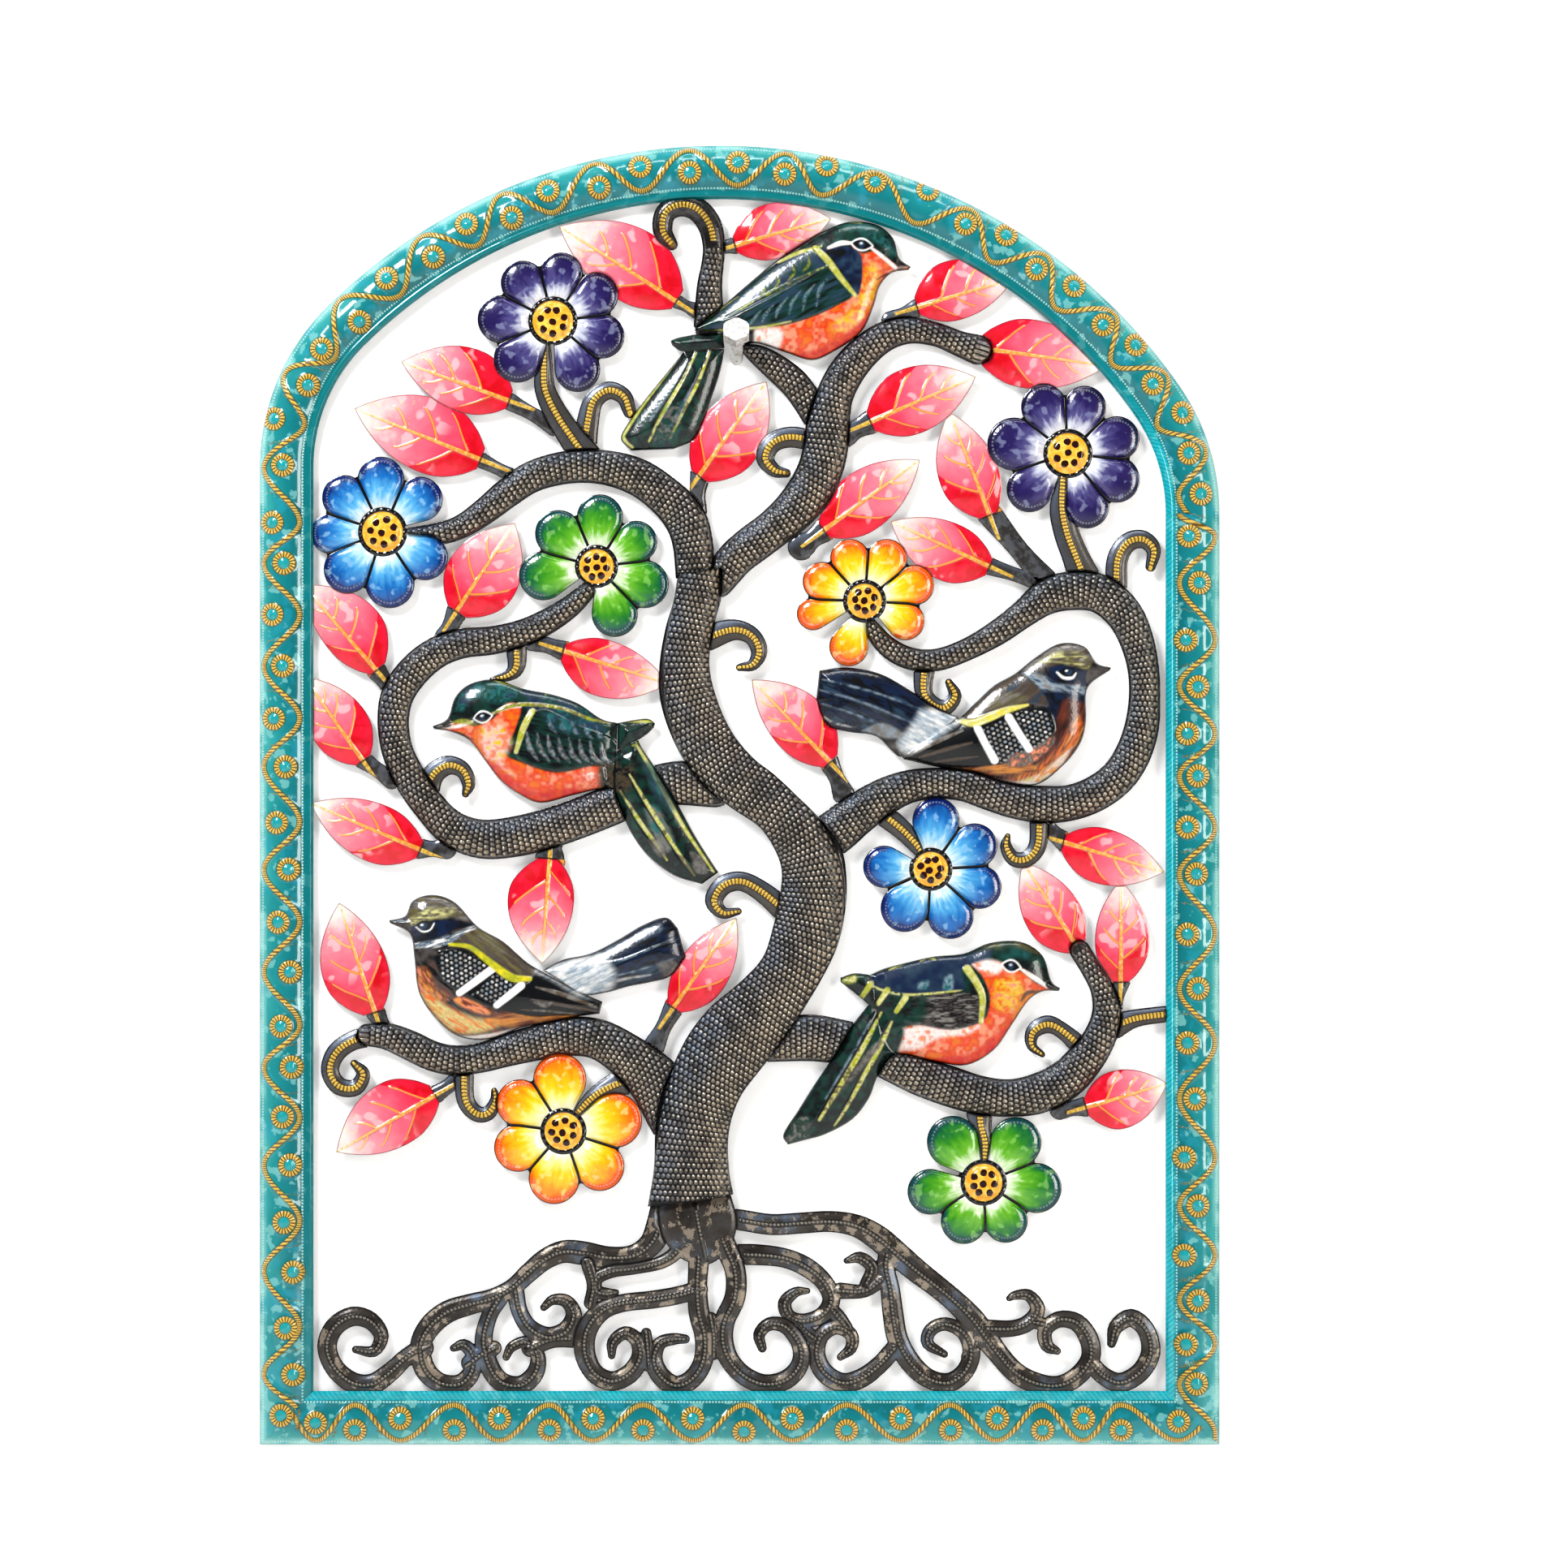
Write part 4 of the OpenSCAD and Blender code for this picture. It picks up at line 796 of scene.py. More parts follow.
def bark_height(ribbon, crown, scaled=FAR):
    """A rounded limb, covered in rows of punched scales up to a narrow plain rim. Past the length
    `scaled` it is plain sheet with a gold ridge."""

    def height(q, edge):
        f, along, left, width, normal = ribbon.at(q)
        across, tilt = lean(left, width, normal)
        own = -f
        rise = np.minimum(crown, 0.6 * width) * (1 - across**2) ** 0.75 * ramp(own, 0, 2.5)
        row = along / ROW
        col = left / COLUMN + 0.5 * (np.floor(row) % 2)
        scale = np.cos(2 * math.pi * (row % 1 - 0.5)) * np.cos(2 * math.pi * (col % 1 - 0.5))
        rise = rise + 0.2 * scale * ramp(own, 1.8, 3.4) * ramp(edge, 1.0, 2.5) * (along < scaled)
        ridge = np.where(along < scaled + 4, -OFF, 2.1 - np.abs(left))
        rise = rise + 0.8 * ramp(ridge, -0.2, 1.2) * ramp(edge, 0.6, 1.6)
        own = own - OFF * (along > scaled)
        return rise, dict(along=along, left=left, tilt=tilt, own=own, ridge=ridge)

    return height


def bark_paint():
    paint = Paint("bark", roughness=0.28, metallic=0.45, coat=0.8, coat_roughness=0.12)
    row = paint.read("along") / ROW
    col = paint.read("left") / COLUMN + row.floor() % 2.0 * 0.5
    a, b = row.fract() - 0.5, col.fract() - 0.5
    r = length(a, b)
    punched = paint.read("own").step(1.3, 2.4)
    groove = length(a + 0.08, b).step(0.33, 0.47) * punched
    # Painted highlight: top is a beige glint off the middle of each scale, laid on in patches.
    top = length((a - 0.14) * 1.5, b * 0.75).step(0.30, 0.12) * punched
    # Painted reflections: the steel is bluish on the side of a limb that faces UP_LIGHT and warm beige on the
    # side that faces away, darker at the very edges.
    tilt = paint.read("tilt") + (paint.noise(14) - 0.5) * 0.8
    steel = paint.band(
        tilt, (-1.0, (0.16, 0.120, 0.080)), (-0.5, (0.42, 0.335, 0.235)), (0.0, (0.27, 0.230, 0.190)),
        (0.4, (0.19, 0.21, 0.25)), (0.8, (0.23, 0.29, 0.39)), (1.0, (0.09, 0.115, 0.15)))
    steel = paint.mix(paint.noise(10, 3, shift=9).step(0.40, 0.66) * 0.72, steel, (0.055, 0.048, 0.044))
    wear_and_glint = paint.mix(top * paint.noise(6, 1).step(0.36, 0.64) * 0.8, steel, (0.70, 0.64, 0.54))
    # Painted shade: near-black in the groove round each scale, its ring set off towards one side.
    cut = paint.mix(groove * 0.96, wear_and_glint, (0.006, 0.005, 0.005))
    plain = paint.mix(paint.noise(7, 4).step(0.35, 0.7), (0.022, 0.019, 0.018), (0.075, 0.070, 0.070))
    colour = paint.mix(paint.read("own").step(2.3, 1.2), cut, plain)
    gold, beads = gold_beads(paint, paint.read("along"), BEAD)
    on = paint.read("ridge").step(-0.1, 0.35)
    colour = paint.mix(on, colour, gold)
    dark_rim = paint.read("edge").step(1.7, 0.6)
    colour = paint.mix(dark_rim * 0.94, colour, (0.005, 0.004, 0.004))
    dome = (0.25 - r * r).most(0.0) * 4.0
    bump = dome * punched + beads * on * 0.6 + paint.noise(1.6, 3) * 0.2
    rough = groove * 0.3 + 0.22 + paint.noise(6) * 0.12
    return paint.finish(colour, roughness=rough, bump=bump, depth=0.0011)


# ---- curled tendrils and stems: a gold beaded ridge on dark sheet ------------------------
def ridge_height(ribbon, crown):
    """Slightly rounded sheet with a beaded ridge along its middle."""

    def height(q, edge):
        f, along, left, width, normal = ribbon.at(q)
        across, tilt = lean(left, width, normal)
        rise = np.minimum(crown, 0.5 * width) * (1 - across**2) * ramp(-f, 0, 2)
        wide = np.minimum(2.0, 0.42 * width)
        begun = along > 0
        ridge = np.sqrt(np.maximum(1 - (left / wide) ** 2, 0)) * begun
        beads = 0.75 + 0.25 * np.cos(along * 2 * math.pi / BEAD)
        rise = rise + 0.9 * ridge * beads * ramp(edge, 0.6, 1.6)
        ridge = wide - np.abs(left) - OFF * ~begun
        return rise, dict(along=along, left=left, tilt=tilt, ridge=ridge)

    return height


def beaded(run, pitch, *stops):
    """Beads at an even pitch along a run, as a step of the share from a bead's middle to its end."""
    return abs((run / pitch).fract() - 0.5).step(*stops)


def gold_beads(paint, run, pitch):
    """Colour and height of a beaded gold cord, run being the length along it."""
    shade = beaded(run, pitch, 0.46, 0.16)
    wear_and_glint = paint.noise(3, 3).step(0.3, 0.75)
    dark = paint.mix(wear_and_glint, (0.085, 0.045, 0.006), (0.22, 0.125, 0.016))
    return paint.mix(shade, dark, (0.80, 0.52, 0.09)), shade


def ridge_paint():
    paint = Paint("tendril", roughness=0.36, metallic=0.35, coat=0.6, coat_roughness=0.16)
    # Painted light: the sheet is lighter and bluish on the side of a tendril that faces UP_LIGHT, as a
    # painted reflection, and dark brown on the side that faces away, as painted shade.
    tilt = paint.read("tilt") + (paint.noise(9) - 0.5) * 0.8
    sheet = paint.band(
        tilt, (-1.0, (0.060, 0.048, 0.040)), (-0.1, (0.085, 0.078, 0.072)), (0.3, (0.09, 0.10, 0.125)),
        (0.7, (0.135, 0.160, 0.215)), (1.0, (0.07, 0.08, 0.10)))
    sheet = paint.mix(paint.noise(3, 4).step(0.5, 0.8) * 0.5, sheet, (0.17, 0.14, 0.11))
    gold, beads = gold_beads(paint, paint.read("along"), BEAD)
    on = paint.read("ridge").step(-0.1, 0.35)
    shaded = paint.mix(paint.read("ridge").step(-0.9, -0.1) * 0.8, sheet, (0.015, 0.012, 0.01))
    colour = paint.mix(on, shaded, gold)
    colour = paint.mix(paint.read("edge").step(1.3, 0.4), colour, (0.008, 0.006, 0.006))
    return paint.finish(colour, bump=beads * on + paint.noise(1.5, 3) * 0.2, depth=0.0005)


# ---- leaves ------------------------------------------------------------------------------
LEAF_RISE = 3.6


def vein_line(start, s, forward):
    """Share of the length where a side vein is, at the share s of the way out from the midrib."""
    return start + forward * (0.75 * s + 0.45 * s**2.2)


def leaf_height(leaf, starts, forward):
    """starts: where the side veins leave the midrib, on the left and on the right; forward: how
    far towards the tip they run."""

    def height(q, edge):
        t, v, w = leaf.at(q)
        s = np.clip(np.abs(v) / w, 0, 1)
        side = np.full(len(t), NOWHERE)
        slope = math.hypot(1, forward * leaf.long / w.mean())
        for sign, own in zip((1, -1), starts):
            for k, start in enumerate(own):
                reach = 0.92 - 0.12 * k
                d = np.abs(t - vein_line(start, s, forward)) * leaf.long / slope
                d = d + 8 * ramp(s, reach - 0.1, reach + 0.1) + NOWHERE * (np.sign(v) != sign)
                side = np.minimum(side, d)
        base = t - np.where(v > 0, *(vein_line(own[0], s, forward) for own in starts))
        rib = np.abs(v) - (1.35 - 0.95 * t)
        rise = LEAF_RISE * (1 - s**2) * ramp(t, -0.05, 0.25) * ramp(t, 1.0, 0.55) * ramp(edge, 0, 2.5)
        rise = rise + 0.9 * ramp(rib, 0.6, -0.6) * (t < 0.93) + 0.45 * ramp(side, 1.3, 0.2) * (t > 0.05)
        rise = rise + 0.35 * np.exp(-((edge - 1.0) ** 2) / 0.5)
        return np.maximum(rise, 0), dict(share=t, side=side, rib=rib, across=v / w, base=base * leaf.long)

    return height


def leaf_stem_height(leaf):
    def height(q, edge):
        f, along, left, width, normal = leaf.stem.at(q)
        t, v, w = leaf.at(q)
        _, tilt = lean(left, width, normal)
        rib = np.abs(v) - (1.35 + 2.0 * t)
        rise = 1.0 * ramp(-f, 0, 3) + 0.7 * ramp(rib, 0.5, -0.6) * ramp(t, -0.26, -0.16)
        # On the stem, side carries tilt, which sets the stem's painted reflection.
        return rise, dict(share=t, side=tilt, rib=rib + OFF * (t < -0.24), across=v / w, base=t)

    return height


def leaf_paint():
    paint = Paint("leaf", roughness=0.26, coat=1.0, coat_roughness=0.05)
    t, across = paint.read("share"), abs(paint.read("across"))
    blot, soft = paint.noise(15, 2) - 0.5, paint.noise(5, 3) - 0.5
    pink = paint.band(
        t + blot * 0.36 + soft * 0.14, (0.08, (0.84, 0.020, 0.065)), (0.28, (0.92, 0.095, 0.165)),
        (0.50, (0.94, 0.19, 0.26)), (0.70, (0.95, 0.31, 0.37)), (0.84, (0.96, 0.62, 0.60)),
        (0.98, (0.97, 0.90, 0.84)))
    crimson = paint.mix(paint.noise(9).step(0.4, 0.6), (0.66, 0.003, 0.014), (0.80, 0.012, 0.040))
    colour = paint.mix(paint.read("base").step(0.4, -0.4), pink, crimson)
    sides = (across + blot * 0.7).step(0.5, 1.0) * t.step(0.65, 0.3) * 0.55
    deep = paint.mix(sides, colour, (0.80, 0.012, 0.055))
    # Painted sheen: pale pink patches on the outer part of the leaf.
    painted_sheen = paint.noise(11, 1, shift=3).step(0.57, 0.64) * t.step(0.25, 0.4) * 0.6
    pale = paint.mix(painted_sheen, deep, (0.97, 0.60, 0.62))
    specks = paint.noise(3.0, 2, shift=6).step(0.60, 0.70) * t.step(0.5, 0.75) * 0.6
    pale = paint.mix(specks, pale, (0.95, 0.74, 0.30))
    vein = paint.read("side")
    orange = paint.band(
        t, (-0.1, (0.72, 0.27, 0.02)), (0.45, (0.90, 0.33, 0.075)), (0.75, (0.93, 0.55, 0.22)),
        (1.0, (0.97, 0.90, 0.70)))
    colour = paint.mix(vein.step(1.1, 0.6) * 0.6 * t.step(0.95, 0.7), pale, (0.55, 0.010, 0.018))
    colour = paint.mix(vein.step(0.80, 0.45) * t.step(0.97, 0.9), colour, orange)
    rib = paint.read("rib")
    colour = paint.mix(rib.step(0.9, 0.3) * 0.5 * t.step(0.9, 0.6), colour, (0.50, 0.006, 0.014))
    bright = paint.mix(paint.noise(2.5, 3).step(0.45, 0.65), orange, (0.93, 0.50, 0.13))
    colour = paint.mix(rib.step(0.35, 0.0), colour, bright)
    steel = paint.mix(paint.noise(5, 4).step(0.4, 0.65), (0.040, 0.036, 0.034), (0.095, 0.098, 0.108))
    # Painted reflection: the stem turns bluish on its side that faces UP_LIGHT.
    steel = paint.mix(paint.read("side").step(0.0, 0.9), steel, (0.11, 0.135, 0.18))
    gold = paint.mix(paint.noise(2, 2).step(0.4, 0.6), (0.52, 0.30, 0.035), (0.74, 0.50, 0.10))
    steel = paint.mix(rib.step(0.3, 0.0), steel, gold)
    on_leaf = t.step(-0.004, 0.004)
    colour = paint.mix(on_leaf, steel, colour)
    edge = paint.read("edge")
    rim = paint.mix(on_leaf, (0.010, 0.007, 0.007), (0.17, 0.02, 0.025))
    colour = paint.mix(edge.step(0.95, 0.35) * (0.92 - on_leaf * 0.2), colour, rim)
    return paint.finish(colour, bump=paint.noise(1.8, 3) * 0.15 + vein.step(0.9, 0.1) * 0.4, depth=0.0003)


# ---- flowers -----------------------------------------------------------------------------
PETAL_RISE = 4.6
DOTS_IN, DOT = 3.3, 2.2  # the punched dots round a petal: how far in, and their pitch
KNOBS = 19  # round a flower's eye, and on each gold ring of the border
PETAL_GAP = 0.85  # how deep the outline is notched between two petals


def flower_fields(k, q):
    """The closest petal's own coordinates, and the outline of the whole flower."""
    _, centre, radius, _ = FLOWERS[k]
    each = np.array([p.at(q) for p in petals[k]])
    order = np.argsort(each[:, 0], 0)[:2]
    (f1, t, v, w), (f2, *_) = np.take_along_axis(each, order[:, None], 0)
    r = np.linalg.norm(q - np.array(centre), axis=1)
    whole = np.minimum(np.minimum(f1, (f1 + f2) / 2 - PETAL_GAP), r - radius - EYE_LAP)
    reach = np.array([p.reach for p in petals[k]])[order[0]]
    far = np.array([p.far for p in petals[k]])[order[0]]
    return whole, f1, f2, t, v, w, reach, far, r


def flower_patch(k, seed):
    _, centre, radius, _ = FLOWERS[k]
    rng = np.random.default_rng(seed)
    turn = rng.uniform(0, 60)
    spots = [rng.uniform(-1, 1, 2)] + [
        (radius - 2.2) * 0.62 * np.array([math.cos(a), math.sin(a)]) + rng.uniform(-0.6, 0.6, 2)
        for a in np.radians(turn + np.arange(7) * 360 / 7)
    ]

    def height(q, edge):
        whole, f1, f2, t, v, w, reach, far, r = flower_fields(k, q)
        s = np.clip(v / w, -1, 1)
        end = np.clip((t - far * 0.85) / (reach - far * 0.85), 0, 1)
        rise = PETAL_RISE * (1 - s**2) ** 0.7 * (1 - end**2) ** 0.6 * ramp(t, radius - 3, radius + 9)
        half_gap = np.minimum(-f1, (f2 - f1) / 2)
        rise = rise * ramp(half_gap, 0.2, 2.6)
        run = np.arctan2(v, t - far) * 13  # about the length round the petal's end
        dots = np.exp(-((-f1 - DOTS_IN) ** 2) / 0.35) * (t > far * 0.8)
        dots = dots * (0.5 + 0.5 * np.cos(run * 2 * math.pi / DOT))
        rise = rise - 0.25 * dots
        knobs = 0.5 + 0.5 * np.cos(np.arctan2(*(q - centre).T) * KNOBS)
        ring = np.exp(-((r - radius + 0.4) ** 2) / 2.2)
        eye = 3.0 * ramp(r, radius - 1.2, radius - 6.5) + 1.5 * ring * (0.6 + 0.4 * knobs)
        rise = np.where(r < radius + 2.5, np.maximum(eye, rise * ramp(r, radius, radius + 2.5)), rise)
        spot = np.min([np.linalg.norm(q - centre - c, axis=1) for c in spots], 0)
        share = (t - radius) / (reach - radius)
        gap = np.where(f2 < 3.2, half_gap, OFF)
        return rise, dict(share=share, rim=-f1, gap=gap, eye=radius - r, spot=spot, streak=v / w, run=run)

    return patch([*petals[k], eyes[k]], [], height, outline=lambda q: flower_fields(k, q)[0])


def petal_paint(name, stops, streak_colour, streaks):
    paint = Paint(name, roughness=0.25, coat=1.0, coat_roughness=0.05)
    share, rim = paint.read("share"), paint.read("rim")
    place = paint.new("ShaderNodeCombineXYZ")
    paint.feed(paint.read("streak") * 2.2, place.inputs[0])
    paint.feed(share * 1.2, place.inputs[1])
    paint.feed(paint.noise(30) * 3, place.inputs[2])
    fibres = paint.new("ShaderNodeTexNoise")
    fibres.inputs["Scale"].default_value = 2.2
    fibres.inputs["Detail"].default_value = 4.0
    paint.tree.links.new(place.outputs[0], fibres.inputs["Vector"])
    fibre = Value(paint, fibres.outputs["Fac"]) - 0.5
    blot = paint.noise(10, 2) - 0.5
    tone = share + fibre * 0.5 + blot * 0.22 + rim.step(6.5, 0.5) * share.step(0.15, 0.6) * 0.40
    colour = paint.band(tone, *stops)
    patchy = paint.noise(6, 1, shift=5).step(0.56, 0.66) * share.step(0.2, 0.5) * share.step(1.0, 0.8)
    colour = paint.mix(patchy * streaks, colour, streak_colour)
    dots = abs(rim - DOTS_IN).step(0.9, 0.3) * beaded(paint.read("run"), DOT, 0.4, 0.2) * share.step(0.5, 0.7)
    colour = paint.mix(dots * 0.16, colour, (0.9, 0.95, 1.0))
    black = (0.006, 0.005, 0.006)
    colour = paint.mix(paint.read("gap").step(1.25, 0.75), colour, black)
    colour = paint.mix(paint.read("edge").step(1.2, 0.4) * 0.85, colour, black)
    eye = paint.read("eye")
    amber = paint.mix(paint.noise(4, 2).step(0.4, 0.7), (0.90, 0.42, 0.03), (0.98, 0.66, 0.12))
    spot = paint.read("spot") + (paint.noise(3, 1, shift=8) - 0.5) * 1.2
    amber = paint.mix(spot.step(2.55, 2.2), amber, (0.030, 0.006, 0.008))
    amber = paint.mix(eye.step(1.9, 1.3), amber, black)
    colour = paint.mix(eye.step(-1.6, -1.2), colour, amber)
    return paint.finish(colour, bump=paint.noise(1.6, 3) * 0.12, depth=0.0003)


NAVY, SKY, ICE = (0.002, 0.020, 0.155), (0.014, 0.17, 0.50), (0.86, 0.94, 0.98)
# Slot: (colours along a petal from the eye outwards, colour of its streaks, their strength).
PETALS = {
    "petal_purple": (
        ((0.0, (0.92, 0.92, 0.95)), (0.14, (0.62, 0.64, 0.76)), (0.34, (0.10, 0.09, 0.25)),
         (0.62, (0.030, 0.018, 0.12)), (1.1, (0.010, 0.006, 0.055))), (0.42, 0.46, 0.66), 0.35),
    "petal_blue": (
        ((0.0, ICE), (0.13, (0.50, 0.76, 0.92)), (0.34, (0.11, 0.42, 0.74)), (0.64, SKY), (0.98, NAVY)),
        (0.50, 0.78, 0.95), 0.35),
    "petal_green": (
        ((0.0, (0.92, 0.97, 0.90)), (0.14, (0.62, 0.82, 0.46)), (0.30, (0.17, 0.48, 0.035)),
         (0.58, (0.050, 0.29, 0.018)), (0.80, (0.010, 0.15, 0.050)), (1.02, (0.003, 0.070, 0.075))),
        (0.40, 0.78, 0.22), 0.35),
    "petal_yellow": (
        ((0.0, (0.98, 0.95, 0.75)), (0.2, (0.98, 0.86, 0.28)), (0.40, (0.98, 0.64, 0.015)),
         (0.66, (0.96, 0.37, 0.006)), (0.95, (0.86, 0.12, 0.004))), (1.0, 0.90, 0.40), 0.4),
}


# ---- roots: flat scrolls with a row of punched beads -------------------------------------
ROOT_BEAD = 2.6  # pitch of the row


def root_height(strokes):
    def height(q, edge):
        best = np.full(len(q), FAR)
        along, left = np.zeros(len(q)), np.zeros(len(q))
        for k, s in enumerate(strokes):
            near = by_box(s, q, 3)
            f, a, v, *_ = s.at(q[near])
            hit = f < best[near]
            at = np.nonzero(near)[0][hit]
            best[at], along[at], left[at] = f[hit], a[hit] + 40 * k, v[hit]
        ridge = 1.9 - np.abs(left)
        beads = 0.5 + 0.5 * np.cos(along * 2 * math.pi / ROOT_BEAD)
        row = ramp(ridge, -0.4, 0.9) * ramp(edge, 1.2, 2.4)
        rise = 1.5 * ramp(edge, 0, 4.5) + row * (0.35 + 0.45 * beads)
        return rise, dict(along=along, left=left, ridge=ridge)

    return height


def root_paint():
    paint = Paint("root", roughness=0.38, metallic=0.4, coat=0.6, coat_roughness=0.15)
    blot, fine = paint.noise(26, 2), paint.noise(5, 4)
    sheet = paint.band(
        blot + (fine - 0.5) * 0.3, (0.34, (0.030, 0.025, 0.022)), (0.48, (0.060, 0.050, 0.042)),
        (0.60, (0.070, 0.066, 0.066)), (0.72, (0.12, 0.15, 0.20)))
    patchy = paint.noise(11, 5, shift=13, rough=0.7).step(0.545, 0.575)
    sheet = paint.mix(patchy * 0.85, sheet, (0.36, 0.30, 0.235))
    row = paint.read("ridge").step(-0.3, 0.3) * paint.read("edge").step(1.2, 2.0)
    run = ((paint.read("along") / ROOT_BEAD).fract() - 0.5) * ROOT_BEAD
    bead = length(run, paint.read("left"))
    colour = paint.mix(row * 0.85, sheet, (0.014, 0.012, 0.010))
    # Painted highlight: a lighter spot on the middle of each punched bead.
    colour = paint.mix(row * bead.step(1.2, 0.5) * 0.8, colour, (0.30, 0.27, 0.225))
    colour = paint.mix(paint.read("edge").step(1.25, 0.45), colour, (0.006, 0.005, 0.005))
    return paint.finish(colour, bump=bead.step(1.3, 0.3) * row + paint.noise(1.4, 3) * 0.2, depth=0.0006)


# ---- border ------------------------------------------------------------------------------
# Front of the section: millimetres across from the outer edge, and millimetres off the wall.
SECTION = spline([
    [0, 0.5], [0, 2.2], [0.3, 4.2], [2.4, 6.2], [5.6, 8.7], [10.8, 11.6], [17, 12.6], [23, 11.5],
    [28, 9.2], [30.8, 7.9], [32.4, 8.2], [34.0, 8.2], [35.2, 7.0], [36, 6.2]], 4)
SECTION[:, 0] = np.clip(SECTION[:, 0], 0.06, BORDER)  # just inside the blank's edges
GROOVE = 29.0  # across, where the lip begins
LIGHT_SIDE = np.array([-0.7, 0.7])
STATION = 1.3  # length of the swept mesh's cells
WAVE_MIDDLE, WAVE_REACH, WAVE_HALF = 15.2, 12.0, 1.6  # the gold cord: across the border, and half its width
RING_R, RING_HALF, BOSS_R = 5.8, 1.8, 3.7  # the gold rings and the bosses in them
END_GAP = 33  # from the last ring on a side to where the cord would next turn

# Middles of the gold rings, in order along each side: one by the outer edge, the next by the
# inner edge, and so on.
RINGS = {
    "left_border": [[-305, 22], [-297, 49], [-302, 80], [-297, 117], [-303, 150], [-299, 188], [-304, 220],
        [-298, 253], [-305, 280], [-299, 316], [-307, 349], [-300, 384], [-308, 415], [-302, 452],
        [-310, 484], [-304, 519], [-311, 553], [-303, 587], [-311, 614], [-304, 652]],
    "arch_border": [[-311, 614], [-304, 652], [-310, 683], [-287, 705], [-278, 729], [-253, 747],
        [-235, 776], [-204, 790], [-182, 812], [-152, 816], [-128, 834], [-94, 836], [-67, 850], [-34, 846],
        [-2, 853], [29, 845], [57, 851], [89, 840], [124, 835], [149, 812], [176, 805], [196, 782],
        [221, 771], [240, 745], [262, 732], [273, 706], [293, 687], [297, 660], [305, 633], [297, 605]],
    "right_border": [[302, 43], [295, 69], [303, 98], [294, 128], [303, 161], [294, 193], [301, 232],
        [296, 269], [303, 305], [296, 341], [302, 381], [296, 412], [303, 446], [296, 474], [303, 505],
        [295, 536], [304, 574], [297, 605], [305, 633]],
    "bottom_border": [[-305, 22], [-282, 17], [-256, 12], [-226, 20], [-190, 12], [-160, 20], [-127, 12],
        [-98, 20], [-65, 12], [-32, 20], [2, 11], [34, 20], [70, 12], [106, 20], [139, 12], [170, 20],
        [200, 12], [227, 20], [252, 12], [290, 18]],
}


def along_border(points, normals, run, node):
    """Sweeps the section along one side of the border. points are in the panel's plane, run the
    length along it."""
    across, depth = SECTION[:, 0], SECTION[:, 1]
    n, m = run.shape
    rings = np.array(RINGS[node], float)
    flat = points.reshape(-1, 2)
    gaps = [np.hypot(flat[:, 0] - x, flat[:, 1] - z) for x, z in rings]
    near = rings[np.argmin(gaps, 0)]
    rx, ry = (flat - near).T.reshape(2, n, m)
    column = int(np.argmin(np.abs(across - RUN_LINE)))
    middle_line = points[:, column]
    stations = np.array([run[np.argmin(np.hypot(*(middle_line - c).T)), column] for c in rings])
    if node == "arch_border":  # the rings past its two ends
        stations[[0, 1]] = -37, -1
        stations[[-2, -1]] += 0, 30
    turns = np.arange(len(stations)) * math.pi
    ends = [stations[0] - END_GAP, *stations, stations[-1] + END_GAP]
    phase = np.interp(run, ends, [-math.pi, *turns, turns[-1] + math.pi])
    turning = np.maximum(np.gradient(phase, axis=0) / np.maximum(np.gradient(run, axis=0), 0.1), 0.05)
    line = WAVE_MIDDLE + WAVE_REACH * np.cos(phase)
    steep = WAVE_REACH * turning * np.sin(phase)
    wave = WAVE_HALF - np.abs(across - line) / np.sqrt(1 + steep**2)
    path = run * 1.28 + 2.4 * np.sin(2 * phase)  # about the length along the wave
    r = np.hypot(rx, ry)
    ring = RING_HALF - np.abs(r - RING_R)
    boss = np.sqrt(np.clip(1 - (r / BOSS_R) ** 2, 0, 1))
    rise = 1.3 * ramp(wave, -0.5, 1.2) + 1.2 * ramp(ring, -0.4, 1.3) + 2.0 * boss
    rise = (rise - 0.35 * np.exp(-((across - GROOVE) ** 2) / 1.2)) * (depth > 4.4)
    lit = np.repeat(normals @ LIGHT_SIDE, m).reshape(n, m)
    behind = np.maximum(np.broadcast_to(depth, run.shape) - SHEET, 0.5)
    front = np.dstack([points[..., 0], depth + rise, points[..., 1]])
    back = np.dstack([points[..., 0], behind, points[..., 1]])
    turned_in = np.maximum(1.25 - across, 0)
    back[..., 0] += normals[:, None, 0] * turned_in
    back[..., 2] += normals[:, None, 1] * turned_in
    i, j = (v.ravel() for v in np.meshgrid(np.arange(n - 1), np.arange(m - 1), indexing="ij"))
    quads = np.stack([i * m + j, (i + 1) * m + j, (i + 1) * m + j + 1, i * m + j + 1], 1)
    step = points[1, 0] - points[0, 0]
    if step[0] * normals[0, 1] - step[1] * normals[0, 0] < 0:
        quads = quads[:, ::-1]
    rim = rim_edges(quads)
    wall = np.stack([rim[:, 1], rim[:, 0], rim[:, 0] + n * m, rim[:, 1] + n * m], 1)
    verts = np.concatenate([front.reshape(-1, 3), back.reshape(-1, 3)])
    obj = put_mesh("painted_" + node, verts, np.concatenate([quads, quads[:, ::-1] + n * m, wall]))
    u = np.broadcast_to(across, run.shape)
    fields = dict(u=u, s=run, wave=wave, path=path, rx=rx, ry=ry, lit=lit)
    fields = {k: np.tile(v.ravel(), 2) for k, v in fields.items()}
    put_values(obj, front=np.repeat([1.0, 0.0], n * m), **fields)
    obj.data.materials.append(BORDER_PAINT)
    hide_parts(node)
    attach(obj, "panel")


